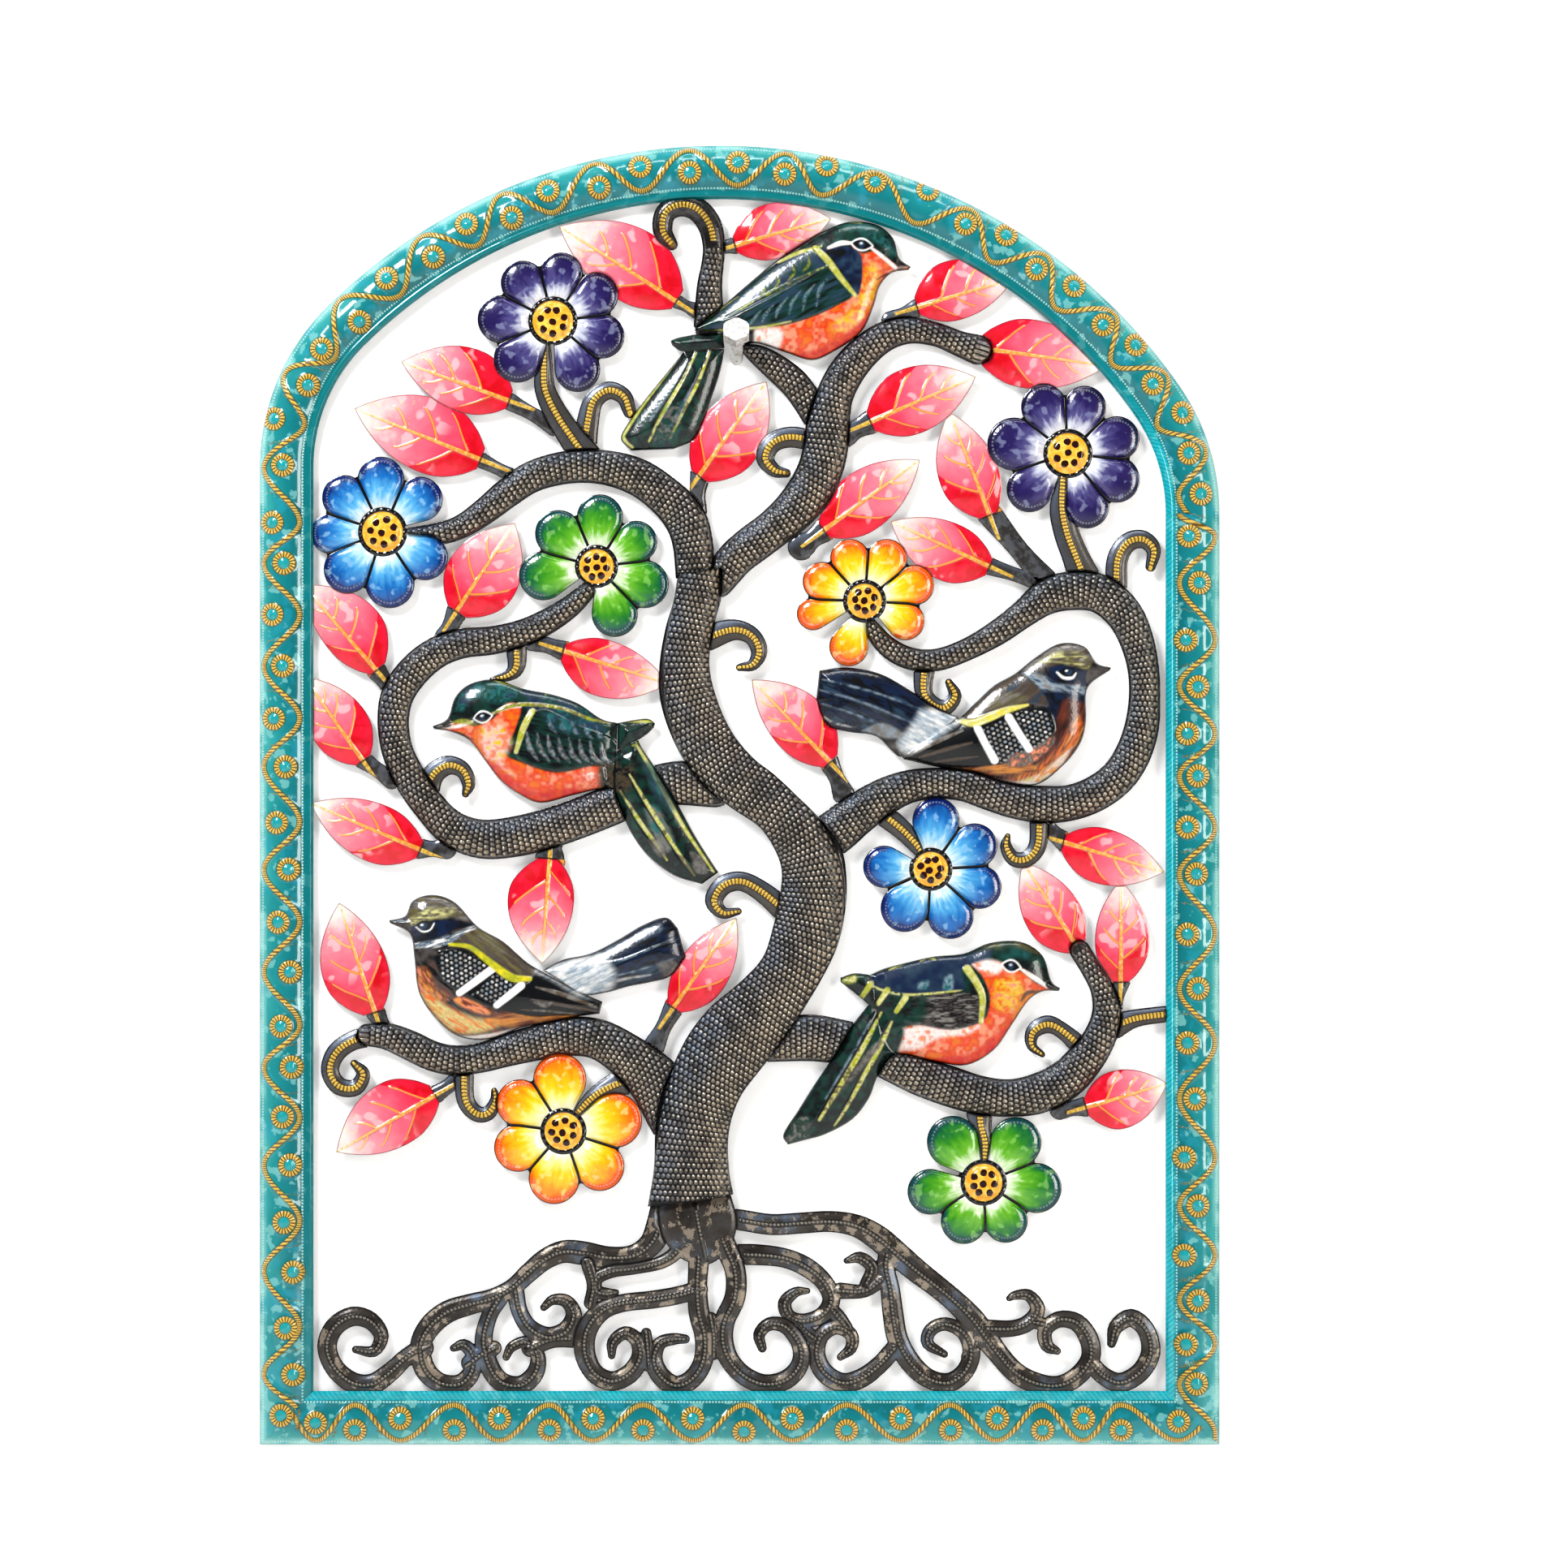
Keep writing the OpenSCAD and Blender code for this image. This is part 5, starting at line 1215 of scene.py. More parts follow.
def straight_border(corner, way, inwards, long, mitres, node):
    """corner is the start of the outer edge and way its direction; mitres says at how many ends
    it is mitred."""
    corner, way, inwards = (np.array(v, float) for v in (corner, way, inwards))
    across = SECTION[:, 0]
    t = np.linspace(0, 1, int(long / STATION))[:, None]
    run = across + t * (long - across * mitres)
    points = corner + run[..., None] * way + across[:, None] * inwards
    along_border(points, np.repeat(inwards[None], len(t), 0), run, node)


def arch_border():
    line = arch_line(0, STATION)
    points = line[:, None, :2] + line[:, None, 2:4] * SECTION[None, :, :1]
    along_border(points, line[:, 2:4], np.repeat(line[:, 4:5], len(SECTION), 1), "arch_border")


def border_paint():
    paint = Paint("border", roughness=0.2, coat=1.0, coat_roughness=0.04)
    u, s, lit = paint.read("u"), paint.read("s"), paint.read("lit")
    big, small = paint.noise(40, 2), paint.noise(12, 2, shift=2)
    teal = paint.band(
        u + (big - 0.5) * 22, (0.0, (0.070, 0.42, 0.41)), (9.0, (0.022, 0.29, 0.30)),
        (18, (0.010, 0.225, 0.25)), (27, (0.006, 0.18, 0.205)), (36, (0.004, 0.145, 0.16)))
    teal = paint.mix(small.step(0.53, 0.66) * 0.5, teal, (0.025, 0.33, 0.44))
    teal = paint.mix(paint.noise(9, 3, shift=7).step(0.57, 0.62) * 0.5, teal, (0.30, 0.66, 0.63))
    # Painted highlight: a pale mint band, in patches, along the outer slope of the border.
    outer = u.step(6.5, 2.0) * 0.6 * paint.noise(22, 2, shift=11).step(0.36, 0.56)
    teal = paint.mix(outer, teal, (0.42, 0.78, 0.73))
    # The inner lip is painted light turquoise on the sides that face LIGHT_SIDE, as painted light, and dark
    # teal on the other sides, as painted shade; the slanted dashes go on its lit sides.
    lip, bright = u.step(29.8, 30.6), lit.step(-0.15, 0.35)
    teal = paint.mix(lip * bright * (small * 0.5 + 0.5), teal, (0.015, 0.52, 0.60))
    slant = beaded(s + u * 0.8, 3.4, 0.30, 0.42) * lip * bright
    teal = paint.mix(slant * 0.6, teal, (0.003, 0.17, 0.21))
    teal = paint.mix(lip * (1.0 - bright) * 0.85, teal, (0.003, 0.20, 0.215))
    inner_bead = abs(u - GROOVE).step(0.8, 0.4) * beaded(s, 2.1, 0.42, 0.2)
    outer_bead = abs(u - 2.6).step(0.8, 0.35) * beaded(s, 1.9, 0.42, 0.2)
    teal = paint.mix(inner_bead * 0.85, teal, (0.38, 0.78, 0.74))
    teal = paint.mix(outer_bead * 0.6, teal, (0.45, 0.80, 0.78))
    gold_wave, wave_beads = gold_beads(paint, paint.read("path"), 2.3)
    rx, ry = paint.read("rx"), paint.read("ry")
    r = length(rx, ry)
    turn = rx.arctan2(ry) * (KNOBS / (2 * math.pi))
    gold_ring, ring_beads = gold_beads(paint, turn, 1.0)
    wave = paint.read("wave").step(-0.05, 0.3)
    ring = abs(r - RING_R).step(2.0, 1.65)
    # Painted shade: a dark olive band round the foot of the gold cord and of the rings.
    cord_foot_shade = (paint.read("wave").step(-0.9, 0.0) + abs(r - RING_R).step(3.0, 1.8)).least(1.0)
    colour = paint.mix(cord_foot_shade * 0.75, teal, (0.045, 0.085, 0.030))
    colour = paint.mix(r.step(4.0, 3.3), colour, (0.020, 0.36, 0.38))
    colour = paint.mix(wave, colour, gold_wave)
    colour = paint.mix(ring, colour, gold_ring)
    colour = paint.mix(u.step(1.2, 0.4) * 0.6, colour, (0.02, 0.09, 0.09))
    bump = wave_beads * wave + ring_beads * ring + inner_bead * 0.6 + outer_bead * 0.6
    bump = bump + paint.noise(6, 2) * 0.12
    rough = paint.noise(4) * 0.1 + 0.16 + (wave + ring).least(1.0) * 0.12
    return paint.finish(colour, roughness=rough, bump=bump, depth=0.0006)


BORDER_PAINT = border_paint()
arch_border()
corners = (-LEFT_EDGE, BOTTOM_EDGE), (RIGHT_EDGE, BOTTOM_EDGE)
straight_border(corners[0], (0, 1), (1, 0), LEFT_C[1] - BOTTOM_EDGE, 1, "left_border")
straight_border(corners[1], (0, 1), (-1, 0), RIGHT_C[1] - BOTTOM_EDGE, 1, "right_border")
straight_border(corners[0], (1, 0), (0, 1), LEFT_EDGE + RIGHT_EDGE, 2, "bottom_border")


# ---- the hammered pieces -----------------------------------------------------------------
BARK, TENDRIL, LEAF, ROOT = bark_paint(), ridge_paint(), leaf_paint(), root_paint()


def strips(ribbons, over, form, *crown):
    """One patch for each ribbon, in the form that form(ribbon, crown) gives it."""
    return [patch([s], over, form(s, *crown)) for s in ribbons]


def wood_piece(name, patches, paint):
    hammered("wood_" + name, patches, name, paint)


ahead = [*blooms, *fowl]  # what lies over the limbs
wood_piece("trunk", [patch([trunk], fowl, bark_height(trunk.ribbon, 9.0))], BARK)
for k, (name, _) in enumerate(LIMBS):
    wood_piece(name, strips([limbs[k]], [*ahead, trunk, *limbs[:k]], bark_height, 7.0), BARK)
over = [*ahead, trunk, *limbs]
bare_from = 52.0  # length along the upper part of the top limb at which its scales end
patches = strips(top[:1], over, bark_height, 5.0) + strips(top[1:], over, bark_height, 5.0, bare_from)
wood_piece("limb_top", patches, BARK)
patches = strips(stems, [*ahead, *wood], ridge_height, 2.5)
wood_piece("flower_stems", patches, TENDRIL)
for (name, _), group in zip(TENDRILS, curls):
    patches = strips(group, [*ahead, *wood, *stems], ridge_height, 2.0)
    wood_piece(name, patches, TENDRIL)

rng = np.random.default_rng(7)
for k, leaf in enumerate(leaves):
    name = LEAVES[k][0]
    over = [*ahead, *wood, *stems, *all_curls, *leaves[:k]]
    forward, shift = rng.uniform(0.22, 0.30), rng.uniform(-0.03, 0.03)
    starts = ((0.11 + shift, 0.36 + shift, 0.58), (0.22 + shift, 0.47 + shift, 0.67))
    hammered("painted_" + name, [
        patch([leaf], over, leaf_height(leaf, starts if k % 2 else starts[::-1], forward)),
        patch([leaf.stem], [*over, leaf], leaf_stem_height(leaf)),
    ], name, LEAF)

PETAL_PAINTS = {slot: petal_paint(slot, *look) for slot, look in PETALS.items()}
for k, (name, *_) in enumerate(FLOWERS):
    slot = "petal_" + name.split("_")[1]
    hammered("painted_" + name, [flower_patch(k, 20 + k)], name, PETAL_PAINTS[slot])

over = [trunk]
for k in (1, 0, 2):
    name = ROOTS[k][0]
    patches = [patch(root_strokes[k], over, root_height(root_strokes[k]))]
    hammered("scrolls_" + name, patches, name, ROOT)
    over = [trunk, *root_strokes[1]]


# ---- birds: hammered domes painted in areas and strokes ----------------------------------
TINT = {
    "black": (0.006, 0.007, 0.009), "bottle": (0.008, 0.050, 0.036), "teal": (0.030, 0.19, 0.19),
    "navy": (0.010, 0.024, 0.070), "slate": (0.030, 0.062, 0.105), "mist": (0.34, 0.42, 0.50),
    "lime": (0.44, 0.46, 0.030), "pale": (0.72, 0.69, 0.30), "orange": (0.82, 0.18, 0.016),
    "flame": (0.78, 0.060, 0.016), "red": (0.66, 0.010, 0.025), "salmon": (0.90, 0.32, 0.18),
    "blush": (0.93, 0.78, 0.72), "white": (0.94, 0.94, 0.92), "grey": (0.25, 0.235, 0.215),
    "brown": (0.17, 0.040, 0.022), "umber": (0.095, 0.065, 0.040), "olive": (0.17, 0.15, 0.055),
    "stone": (0.10, 0.085, 0.080), "yellow": (0.86, 0.72, 0.03), "amber": (0.82, 0.33, 0.055),
}


def area(tints, points, blur=0.7, grain=6, full=1.0, lift=0.0, dots=None):
    """A patch of paint: its tints mottled together; dots = (pitch, turn) breaks it into rows of
    dots. blur softens its edge, full is how far it covers, and lift raises the sheet."""
    return tints, Outline(spline([*points, points[0]], 4)), blur, grain, full, lift, dots


def line(tints, points, blur=0.45, grain=4, full=1.0, lift=0.0):
    return tints, stroke(points), blur, grain, full, lift, None


def lines(tints, *strokes, **manner):
    return [line(tints, points, **manner) for points in strokes]


def almond(x, z, a, b, turn):
    """Outline of an eye: half its length, half its height, and its turn in degrees."""
    t = np.linspace(-1, 1, 9)
    upper = np.column_stack([a * t, b * (1 - t**2)])
    own = np.vstack([upper, -upper[1:-1]])
    c, s = math.cos(math.radians(turn)), math.sin(math.radians(turn))
    return (own @ np.array([[c, s], [-s, c]]) + (x, z)).tolist()


def eye(x, z, a, b, turn, ring="white"):
    return [
        area(ring, almond(x, z, a + 1.3, b + 1.1, turn), 0.35, lift=0.5),
        area("black", almond(x, z, a, b, turn), 0.35, lift=0.3),
        area("navy slate", almond(x, z, 0.62 * b, 0.8 * b, turn), 0.5),
        # Painted highlight: a small white glint in the eye.
        area("white mist", almond(x - 0.5, z + 0.25 * b, 1.3, 0.8, turn), 0.4),
    ]


# Marks in order, each over the ones before; the first tints are the coat under all of them.
BIRD_MARKS = {}
BIRD_MARKS["bird_top"] = [
    "bottle black bottle",
    area("navy slate bottle", [[2, 768], [30, 788], [52, 797], [60, 782], [30, 768], [0, 752], [-16, 752]],
        2, 9),
    area("teal bottle", [[62, 800], [66, 809], [80, 812], [92, 808], [84, 803], [72, 803]], 3, 7, 0.7),
    area("orange flame salmon", [[73, 799], [80, 792], [90, 793], [106, 781], [97, 775], [91, 762],
        [84, 741], [64, 727], [48, 720], [28, 726], [6, 733], [8, 741], [31, 745], [50, 751], [66, 759],
        [77, 767], [80, 780]], 0.8, 5, lift=0.4),
    area("salmon yellow orange", [[84, 786], [92, 783], [90, 770], [82, 750], [68, 740], [60, 744],
        [74, 756], [80, 768]], 3, 4, 0.7),
    area("blush white salmon", [[7, 732], [24, 729], [26, 742], [8, 741]], 2.5, 4),
    area("red flame", [[88, 756], [80, 740], [62, 727], [47, 721], [34, 726], [48, 728], [62, 734],
        [76, 745]], 1.8, 5, 0.85),
    area("black bottle", [[9, 742], [6, 731], [-14, 735], [-24, 741], [-10, 744]], 1.5),
    area("black navy slate", [[56, 795], [70, 797], [80, 790], [79, 768], [74, 764], [66, 774], [57, 786]],
        0.7, 6),
    area("black bottle slate", [[57, 784], [66, 772], [74, 764], [62, 757], [45, 750], [28, 746], [-22, 742],
        [-8, 750], [24, 766]], 0.8, (14, 2.2, 27), lift=0.7),
    *[line("slate mist teal", [[58 - 9 * k, 776 - 4.4 * k, 0.6], [52 - 9 * k, 768 - 4.2 * k, 2.2],
        [50 - 9 * k, 757 - 2.5 * k, 0.8]], 0.8, 2, 0.6, 0.4) for k in range(6)],
    *[line("olive lime bottle", [[44 - 10 * k, 791 - 6 * k, 0.6], [45 - 10 * k, 785 - 6 * k, 1.8],
        [41 - 10 * k, 780 - 6 * k, 0.8]], 0.8, 2, 0.7) for k in range(5)],
    area("bottle teal black", [[84, 806], [96, 803], [104, 790], [98, 794], [86, 803]], 2, 4, 0.8),
    *lines("white blush", [[58, 796, 2], [66, 799, 3.4], [73, 799, 2]], [[86, 796, 1.6], [94, 790, 2.6],
        [105, 781, 2.2]]),
    line("lime pale", [[49, 796, 3.5], [57, 788, 4.4], [66, 776, 3.8], [76, 764, 2.4]], lift=0.8),
    line("lime pale", [[25, 787, 1.6], [38, 793, 2.6], [53, 797, 1.2]], full=0.9),
    # Painted highlight along the top of the head.
    line("lime pale", [[58, 811, 1.0], [68, 814, 1.8], [80, 813, 0.8]], full=0.7),
    line("lime bottle olive", [[58, 784, 1], [44, 778, 1.6], [25, 769, 1.8], [6, 759, 1.5], [-10, 750, 1]],
        0.7, 3, 0.8, 0.5),
    # Painted highlight along the lower edge of the wing.
    line("lime pale", [[33, 747, 0.8], [10, 743, 1.5], [-28, 741, 0.9]], full=0.9),
    line("lime grey", [[-2, 764, 0.6], [-14, 756, 1.6], [-26, 747, 0.8]], full=0.8),
    line("black", [[103, 777, 0.6], [97, 779, 1.4], [90, 775, 0.7]], full=0.8),
    area("stone black", [[115, 784], [105, 791], [103, 785], [106, 784]], 0.5, lift=0.3),
    area("salmon grey", [[114, 784], [105, 784], [103, 780], [111, 782]], 0.6),
    *eye(80, 798, 6.6, 3.4, -8),
    line("lime pale", [[-40, 726, 1.5], [-52, 711, 3.4], [-66, 692, 3.4], [-78, 672, 1.8]], 0.7, 3),
    *lines("slate mist", [[-34, 722, 0.8], [-46, 704, 2.6], [-60, 682, 1.4]], [[-24, 720, 0.8],
        [-34, 700, 2.2], [-48, 676, 1.2]], blur=0.9, grain=3, full=0.7),
    *lines("black", [[-31, 728, 0.8], [-41, 706, 1.8], [-64, 664, 1.2]], [[-22, 729, 0.8], [-30, 706, 1.8],
        [-50, 664, 1.2]], lift=-0.8),
    *lines("lime pale olive", [[-29, 728, 0.8], [-39, 708, 2.4], [-52, 686, 2.2], [-61, 668, 1.4]],
        [[-20, 729, 0.8], [-28, 708, 2.2], [-38, 688, 2], [-47, 670, 1.2]]),
    line("lime pale", [[-79, 676, 1], [-77, 668, 2.6], [-72, 664, 1.6]]),
    area("teal bottle grey", [[-50, 690], [-38, 692], [-46, 668], [-58, 668]], 4, 3, 0.6),
]
BIRD_MARKS["bird_middle_left"] = [
    "bottle black bottle",
    area("navy slate bottle", [[-146, 503], [-120, 498], [-94, 484], [-90, 474], [-120, 480], [-142, 490]],
        2, 8),
    area("teal bottle teal slate", [[-189, 490], [-186, 500], [-174, 508], [-158, 508], [-146, 501],
        [-160, 494], [-176, 498], [-184, 490]], 2.5, 5, 0.85),
    area("teal bottle slate", [[-140, 500], [-118, 498], [-98, 489], [-84, 482], [-96, 481], [-120, 487]], 2,
        5, 0.8),
    area("orange flame salmon", [[-197, 481], [-184, 481], [-176, 479], [-164, 484], [-155, 494],
        [-146, 491], [-150, 476], [-156, 461], [-146, 455], [-123, 448], [-100, 452], [-90, 450], [-92, 436],
        [-112, 430], [-134, 425], [-150, 432], [-162, 442], [-174, 457], [-184, 469], [-196, 475]], 0.8, 5,
        lift=0.4),
    area("salmon blush yellow", [[-172, 478], [-160, 480], [-152, 468], [-158, 455], [-150, 446],
        [-164, 450], [-172, 464]], 3, 4, 0.7),
    area("salmon flame blush", [[-104, 451], [-92, 450], [-93, 437], [-106, 437]], 3, 3, 0.7),
    area("red flame", [[-176, 456], [-162, 440], [-148, 431], [-133, 425], [-112, 430], [-100, 435],
        [-116, 438], [-136, 436], [-150, 444], [-164, 456]], 1.8, 5, 0.85),
    area("black umber bottle", [[-95, 454], [-92, 434], [-72, 438], [-74, 456]], 3.0, 3),
    area("black bottle black", [[-137, 489], [-128, 490], [-108, 480], [-84, 470], [-82, 458], [-100, 453],
        [-123, 449], [-146, 456], [-149, 464], [-145, 477]], 0.8, (12, 2.2, -14), lift=0.7),
    area("teal slate bottle", [[-134, 488], [-118, 486], [-100, 478], [-104, 474], [-124, 478]], 1.5,
        (3, 6, -14), 0.8),
    *[line("mist grey slate", [[-142 + 7 * k, 475 - k, 0.6], [-140 + 7 * k, 465 - k, 3.2], [-134 + 7 * k,
        456 - 0.3 * k, 0.8]], 0.9, 2, 0.75, 0.4) for k in range(8)],
    *[line("slate mist", [[-128 + 8 * k, 485 - 1.5 * k, 0.6], [-126 + 8 * k, 479 - 1.5 * k, 2.4],
        [-122 + 8 * k, 474 - 1.2 * k, 0.6]], 0.9, 2, 0.6) for k in range(5)],
    *lines("white blush", [[-161, 489, 2.4], [-154, 492, 3.4], [-146, 492, 1.6]], [[-178, 482, 1.6],
        [-187, 479, 2.4], [-197, 478, 1.8]]),
    line("lime pale", [[-138, 489, 3.6], [-144, 478, 4.4], [-149, 462, 2.8]], lift=0.8),
    line("pale lime", [[-165, 510, 1.4], [-156, 508, 2.6], [-146, 504, 1.2]], full=0.9),
    line("lime olive pale", [[-164, 487.5, 1.6], [-150, 492.8, 2.6], [-133, 493, 2.4], [-116, 490, 2],
        [-101, 484, 2], [-87, 481, 1.2]], 0.6, 3, lift=0.5),
    line("olive lime", [[-192, 481, 1.5], [-184, 482, 3.6], [-176, 480, 2.0]], 0.9, 3, 0.8),
    *lines("lime pale", [[-130, 500, 0.6], [-122, 501, 2.4], [-116, 497, 0.6]], [[-112, 496, 0.6],
        [-104, 496, 2.2], [-99, 490, 0.6]], [[-96, 489, 0.6], [-88, 485, 2.0], [-82, 482, 0.6]]),
    line("lime pale", [[-84, 482.5, 0.8], [-70, 482.5, 2.2], [-57, 482, 1.6]], 0.5, 3),
    line("lime bottle", [[-58, 480, 1], [-62, 472, 2.0], [-72, 466, 1.2]], 0.5, 3),
    line("black", [[-194, 476, 0.6], [-186, 474, 1.4], [-178, 470, 0.7]], full=0.8),
    area("stone black", [[-205, 479], [-195, 485], [-192, 480], [-196, 478]], 0.5, lift=0.3),
    area("salmon grey", [[-204, 477], [-196, 478], [-193, 475]], 0.6),
    *eye(-171, 485, 5.6, 3.2, 10),
    area("black bottle", [[-84, 468], [-74, 468], [-70, 458], [-80, 452]], 1.5, 3),
    line("lime pale", [[-69, 466, 1.6], [-56, 444, 2.8], [-38, 412, 2.4], [-18, 382, 1.2]]),
    area("teal slate bottle", [[-66, 456], [-58, 452], [-44, 424], [-54, 426]], 2, (9, 2, -60), 0.8),
    area("teal grey bottle", [[-64, 424], [-56, 426], [-44, 402], [-54, 396]], 2, (9, 2, -55), 0.8),
    *lines("black", [[-76, 448, 0.8], [-62, 424, 1.8], [-34, 381, 1.2]], [[-80, 440, 0.8], [-70, 418, 1.8],
        [-52, 392, 1.2]], lift=-0.8),
    *lines("lime pale olive", [[-74, 447, 1], [-60, 424, 2.6], [-46, 402, 2.4], [-31, 380, 1.2]],
        [[-80, 436, 1], [-68, 417, 2.6], [-58, 403, 2.2], [-49, 390, 1]]),
    area("grey stone", [[-34, 396], [-26, 392], [-22, 382], [-30, 382]], 1.2, 2.5, 0.8),
    area("grey stone", [[-62, 404], [-54, 404], [-50, 392], [-56, 394]], 1.2, 2.5, 0.7),
]
BIRD_MARKS["bird_lower_right"] = [
    "bottle black bottle",
    area("navy slate", [[86, 314], [100, 318], [128, 325], [150, 327], [166, 332], [162, 322], [150, 318],
        [148, 305], [114, 301], [96, 303], [86, 307]], 1.5, 8),
    area("bottle olive", [[150, 329], [166, 336], [186, 336], [198, 328], [186, 331], [168, 331]], 2, 8, 0.8),
    area("teal bottle", [[172, 330], [184, 332], [192, 326], [184, 325], [174, 326]], 3, 7, 0.7),
    area("orange flame salmon", [[153, 321], [162, 323], [174, 322], [186, 316], [196, 308], [206, 304],
        [199, 300], [190, 293], [180, 279], [168, 262], [152, 253], [130, 254], [114, 259], [104, 263],
        [104, 275], [112, 280], [120, 280.5], [136, 277.6], [147, 278.5], [157, 282], [163, 287], [165, 300],
        [160, 313]], 0.8, 5, lift=0.4),
    area("blush white salmon", [[154, 321], [164, 324], [173, 321], [170, 315], [160, 316]], 2, 4),
    area("salmon yellow orange", [[168, 312], [184, 312], [188, 300], [178, 290], [168, 294]], 3, 4, 0.7),
    area("blush white salmon", [[103, 263], [118, 265], [130, 272], [150, 275], [158, 281], [138, 278],
        [118, 281], [104, 276]], 2, 4, 0.85),
    area("red flame", [[184, 286], [168, 262], [152, 253], [130, 254], [116, 258], [134, 259], [152, 262],
        [170, 276]], 1.8, 5, 0.85),
    area("orange amber", [[188, 303], [203, 303], [196, 298], [184, 284], [180, 288]], 1.5, 5, 0.8),
    line("black stone", [[186, 297, 1.5], [190, 302, 2.8], [200, 303, 1.2]], 0.7, full=0.85),
    area("black bottle", [[104, 262], [98, 258], [90, 268], [94, 282], [108, 278]], 1.6),
    area("grey black stone", [[114, 300], [148, 303], [158, 298], [158, 284], [147, 279], [136, 278],
        [119, 281], [108, 284]], 0.8, (7, 1.7, 2), lift=0.6),
    area("black bottle", [[108, 300], [124, 300], [120, 283], [106, 281], [96, 292]], 3, 5, 0.9),
    # Painted reflections: two teal-grey gloss patches on the back.
    area("teal mist", [[117, 305], [123, 305], [124, 310], [118, 309]], 1.5, 2, 0.8),
    area("teal mist", [[134, 304], [140, 304], [140, 314], [135, 312]], 1.5, 2, 0.8),
    area("black bottle", [[146, 318], [152, 318], [158, 302], [150, 303]], 1.2),
    line("white blush", [[184, 319, 1.2], [193, 313, 3.2], [203, 306, 2.0]]),
    line("lime pale", [[150, 318, 5.5], [156, 309, 4.6], [160, 299, 4.2], [159, 283, 3]], lift=0.8),
    line("lime pale bottle", [[86, 307, 1.2], [97, 303, 1.6], [114, 301, 1.6], [148, 304, 0.9]], lift=0.5),
    *lines("lime pale", [[80, 299, 3], [86, 308, 4]], [[91, 295, 3], [97, 304, 4]], [[103, 290, 3],
        [109, 299, 4.2]], lift=0.3),
    area("pale lime bottle", [[66, 311], [76, 314], [76, 309], [68, 308]], 1.5, 2.5, 0.8),
    # Painted highlights: short lime strokes on the bumps of the back's edge.
    *lines("lime pale", [[98, 317, 0.6], [104, 320, 1.8], [108, 321, 0.6]], [[119, 323, 0.8],
        [124, 326, 3.2], [129, 324, 0.8]], [[132, 326, 0.8], [138, 328, 2.2], [143, 327, 0.6]]),
    area("stone black", [[212, 304], [205, 311], [202, 307], [206, 304]], 0.5, lift=0.3),
    area("salmon grey", [[211, 303], [204, 304], [202, 302]], 0.6),
    *eye(179, 320, 5.7, 3.4, -10),
    *lines("black", [[90, 288, 0.8], [78, 266, 1.8], [46, 212, 1.4]], [[98, 282, 0.8], [88, 262, 1.8],
        [60, 214, 1.2]], lift=-0.8),
    line("lime yellow", [[80, 293, 1.6], [68, 276, 4], [57, 257, 3.4], [42, 232, 1.4]], 0.7, 3),
    *lines("lime pale olive", [[93, 289, 1.2], [82, 268, 3.2], [69, 246, 3.2], [52, 218, 1.8]],
        [[100, 283, 1.2], [93, 268, 3.2], [82, 248, 2.8], [70, 226, 2], [62, 214, 1]], blur=0.7, grain=3),
    line("slate mist", [[86, 284, 0.6], [74, 262, 1.6], [56, 232, 0.8]], 0.8, 3, 0.7),
    area("grey stone", [[68, 238], [92, 266], [86, 266], [62, 232]], 1.5, 2.5, 0.8),
    area("grey bottle stone", [[30, 203], [44, 206], [46, 220], [34, 216]], 2, 3, 0.8),
    area("teal bottle", [[60, 262], [66, 270], [44, 232], [38, 226]], 2.5, 3, 0.6),
]
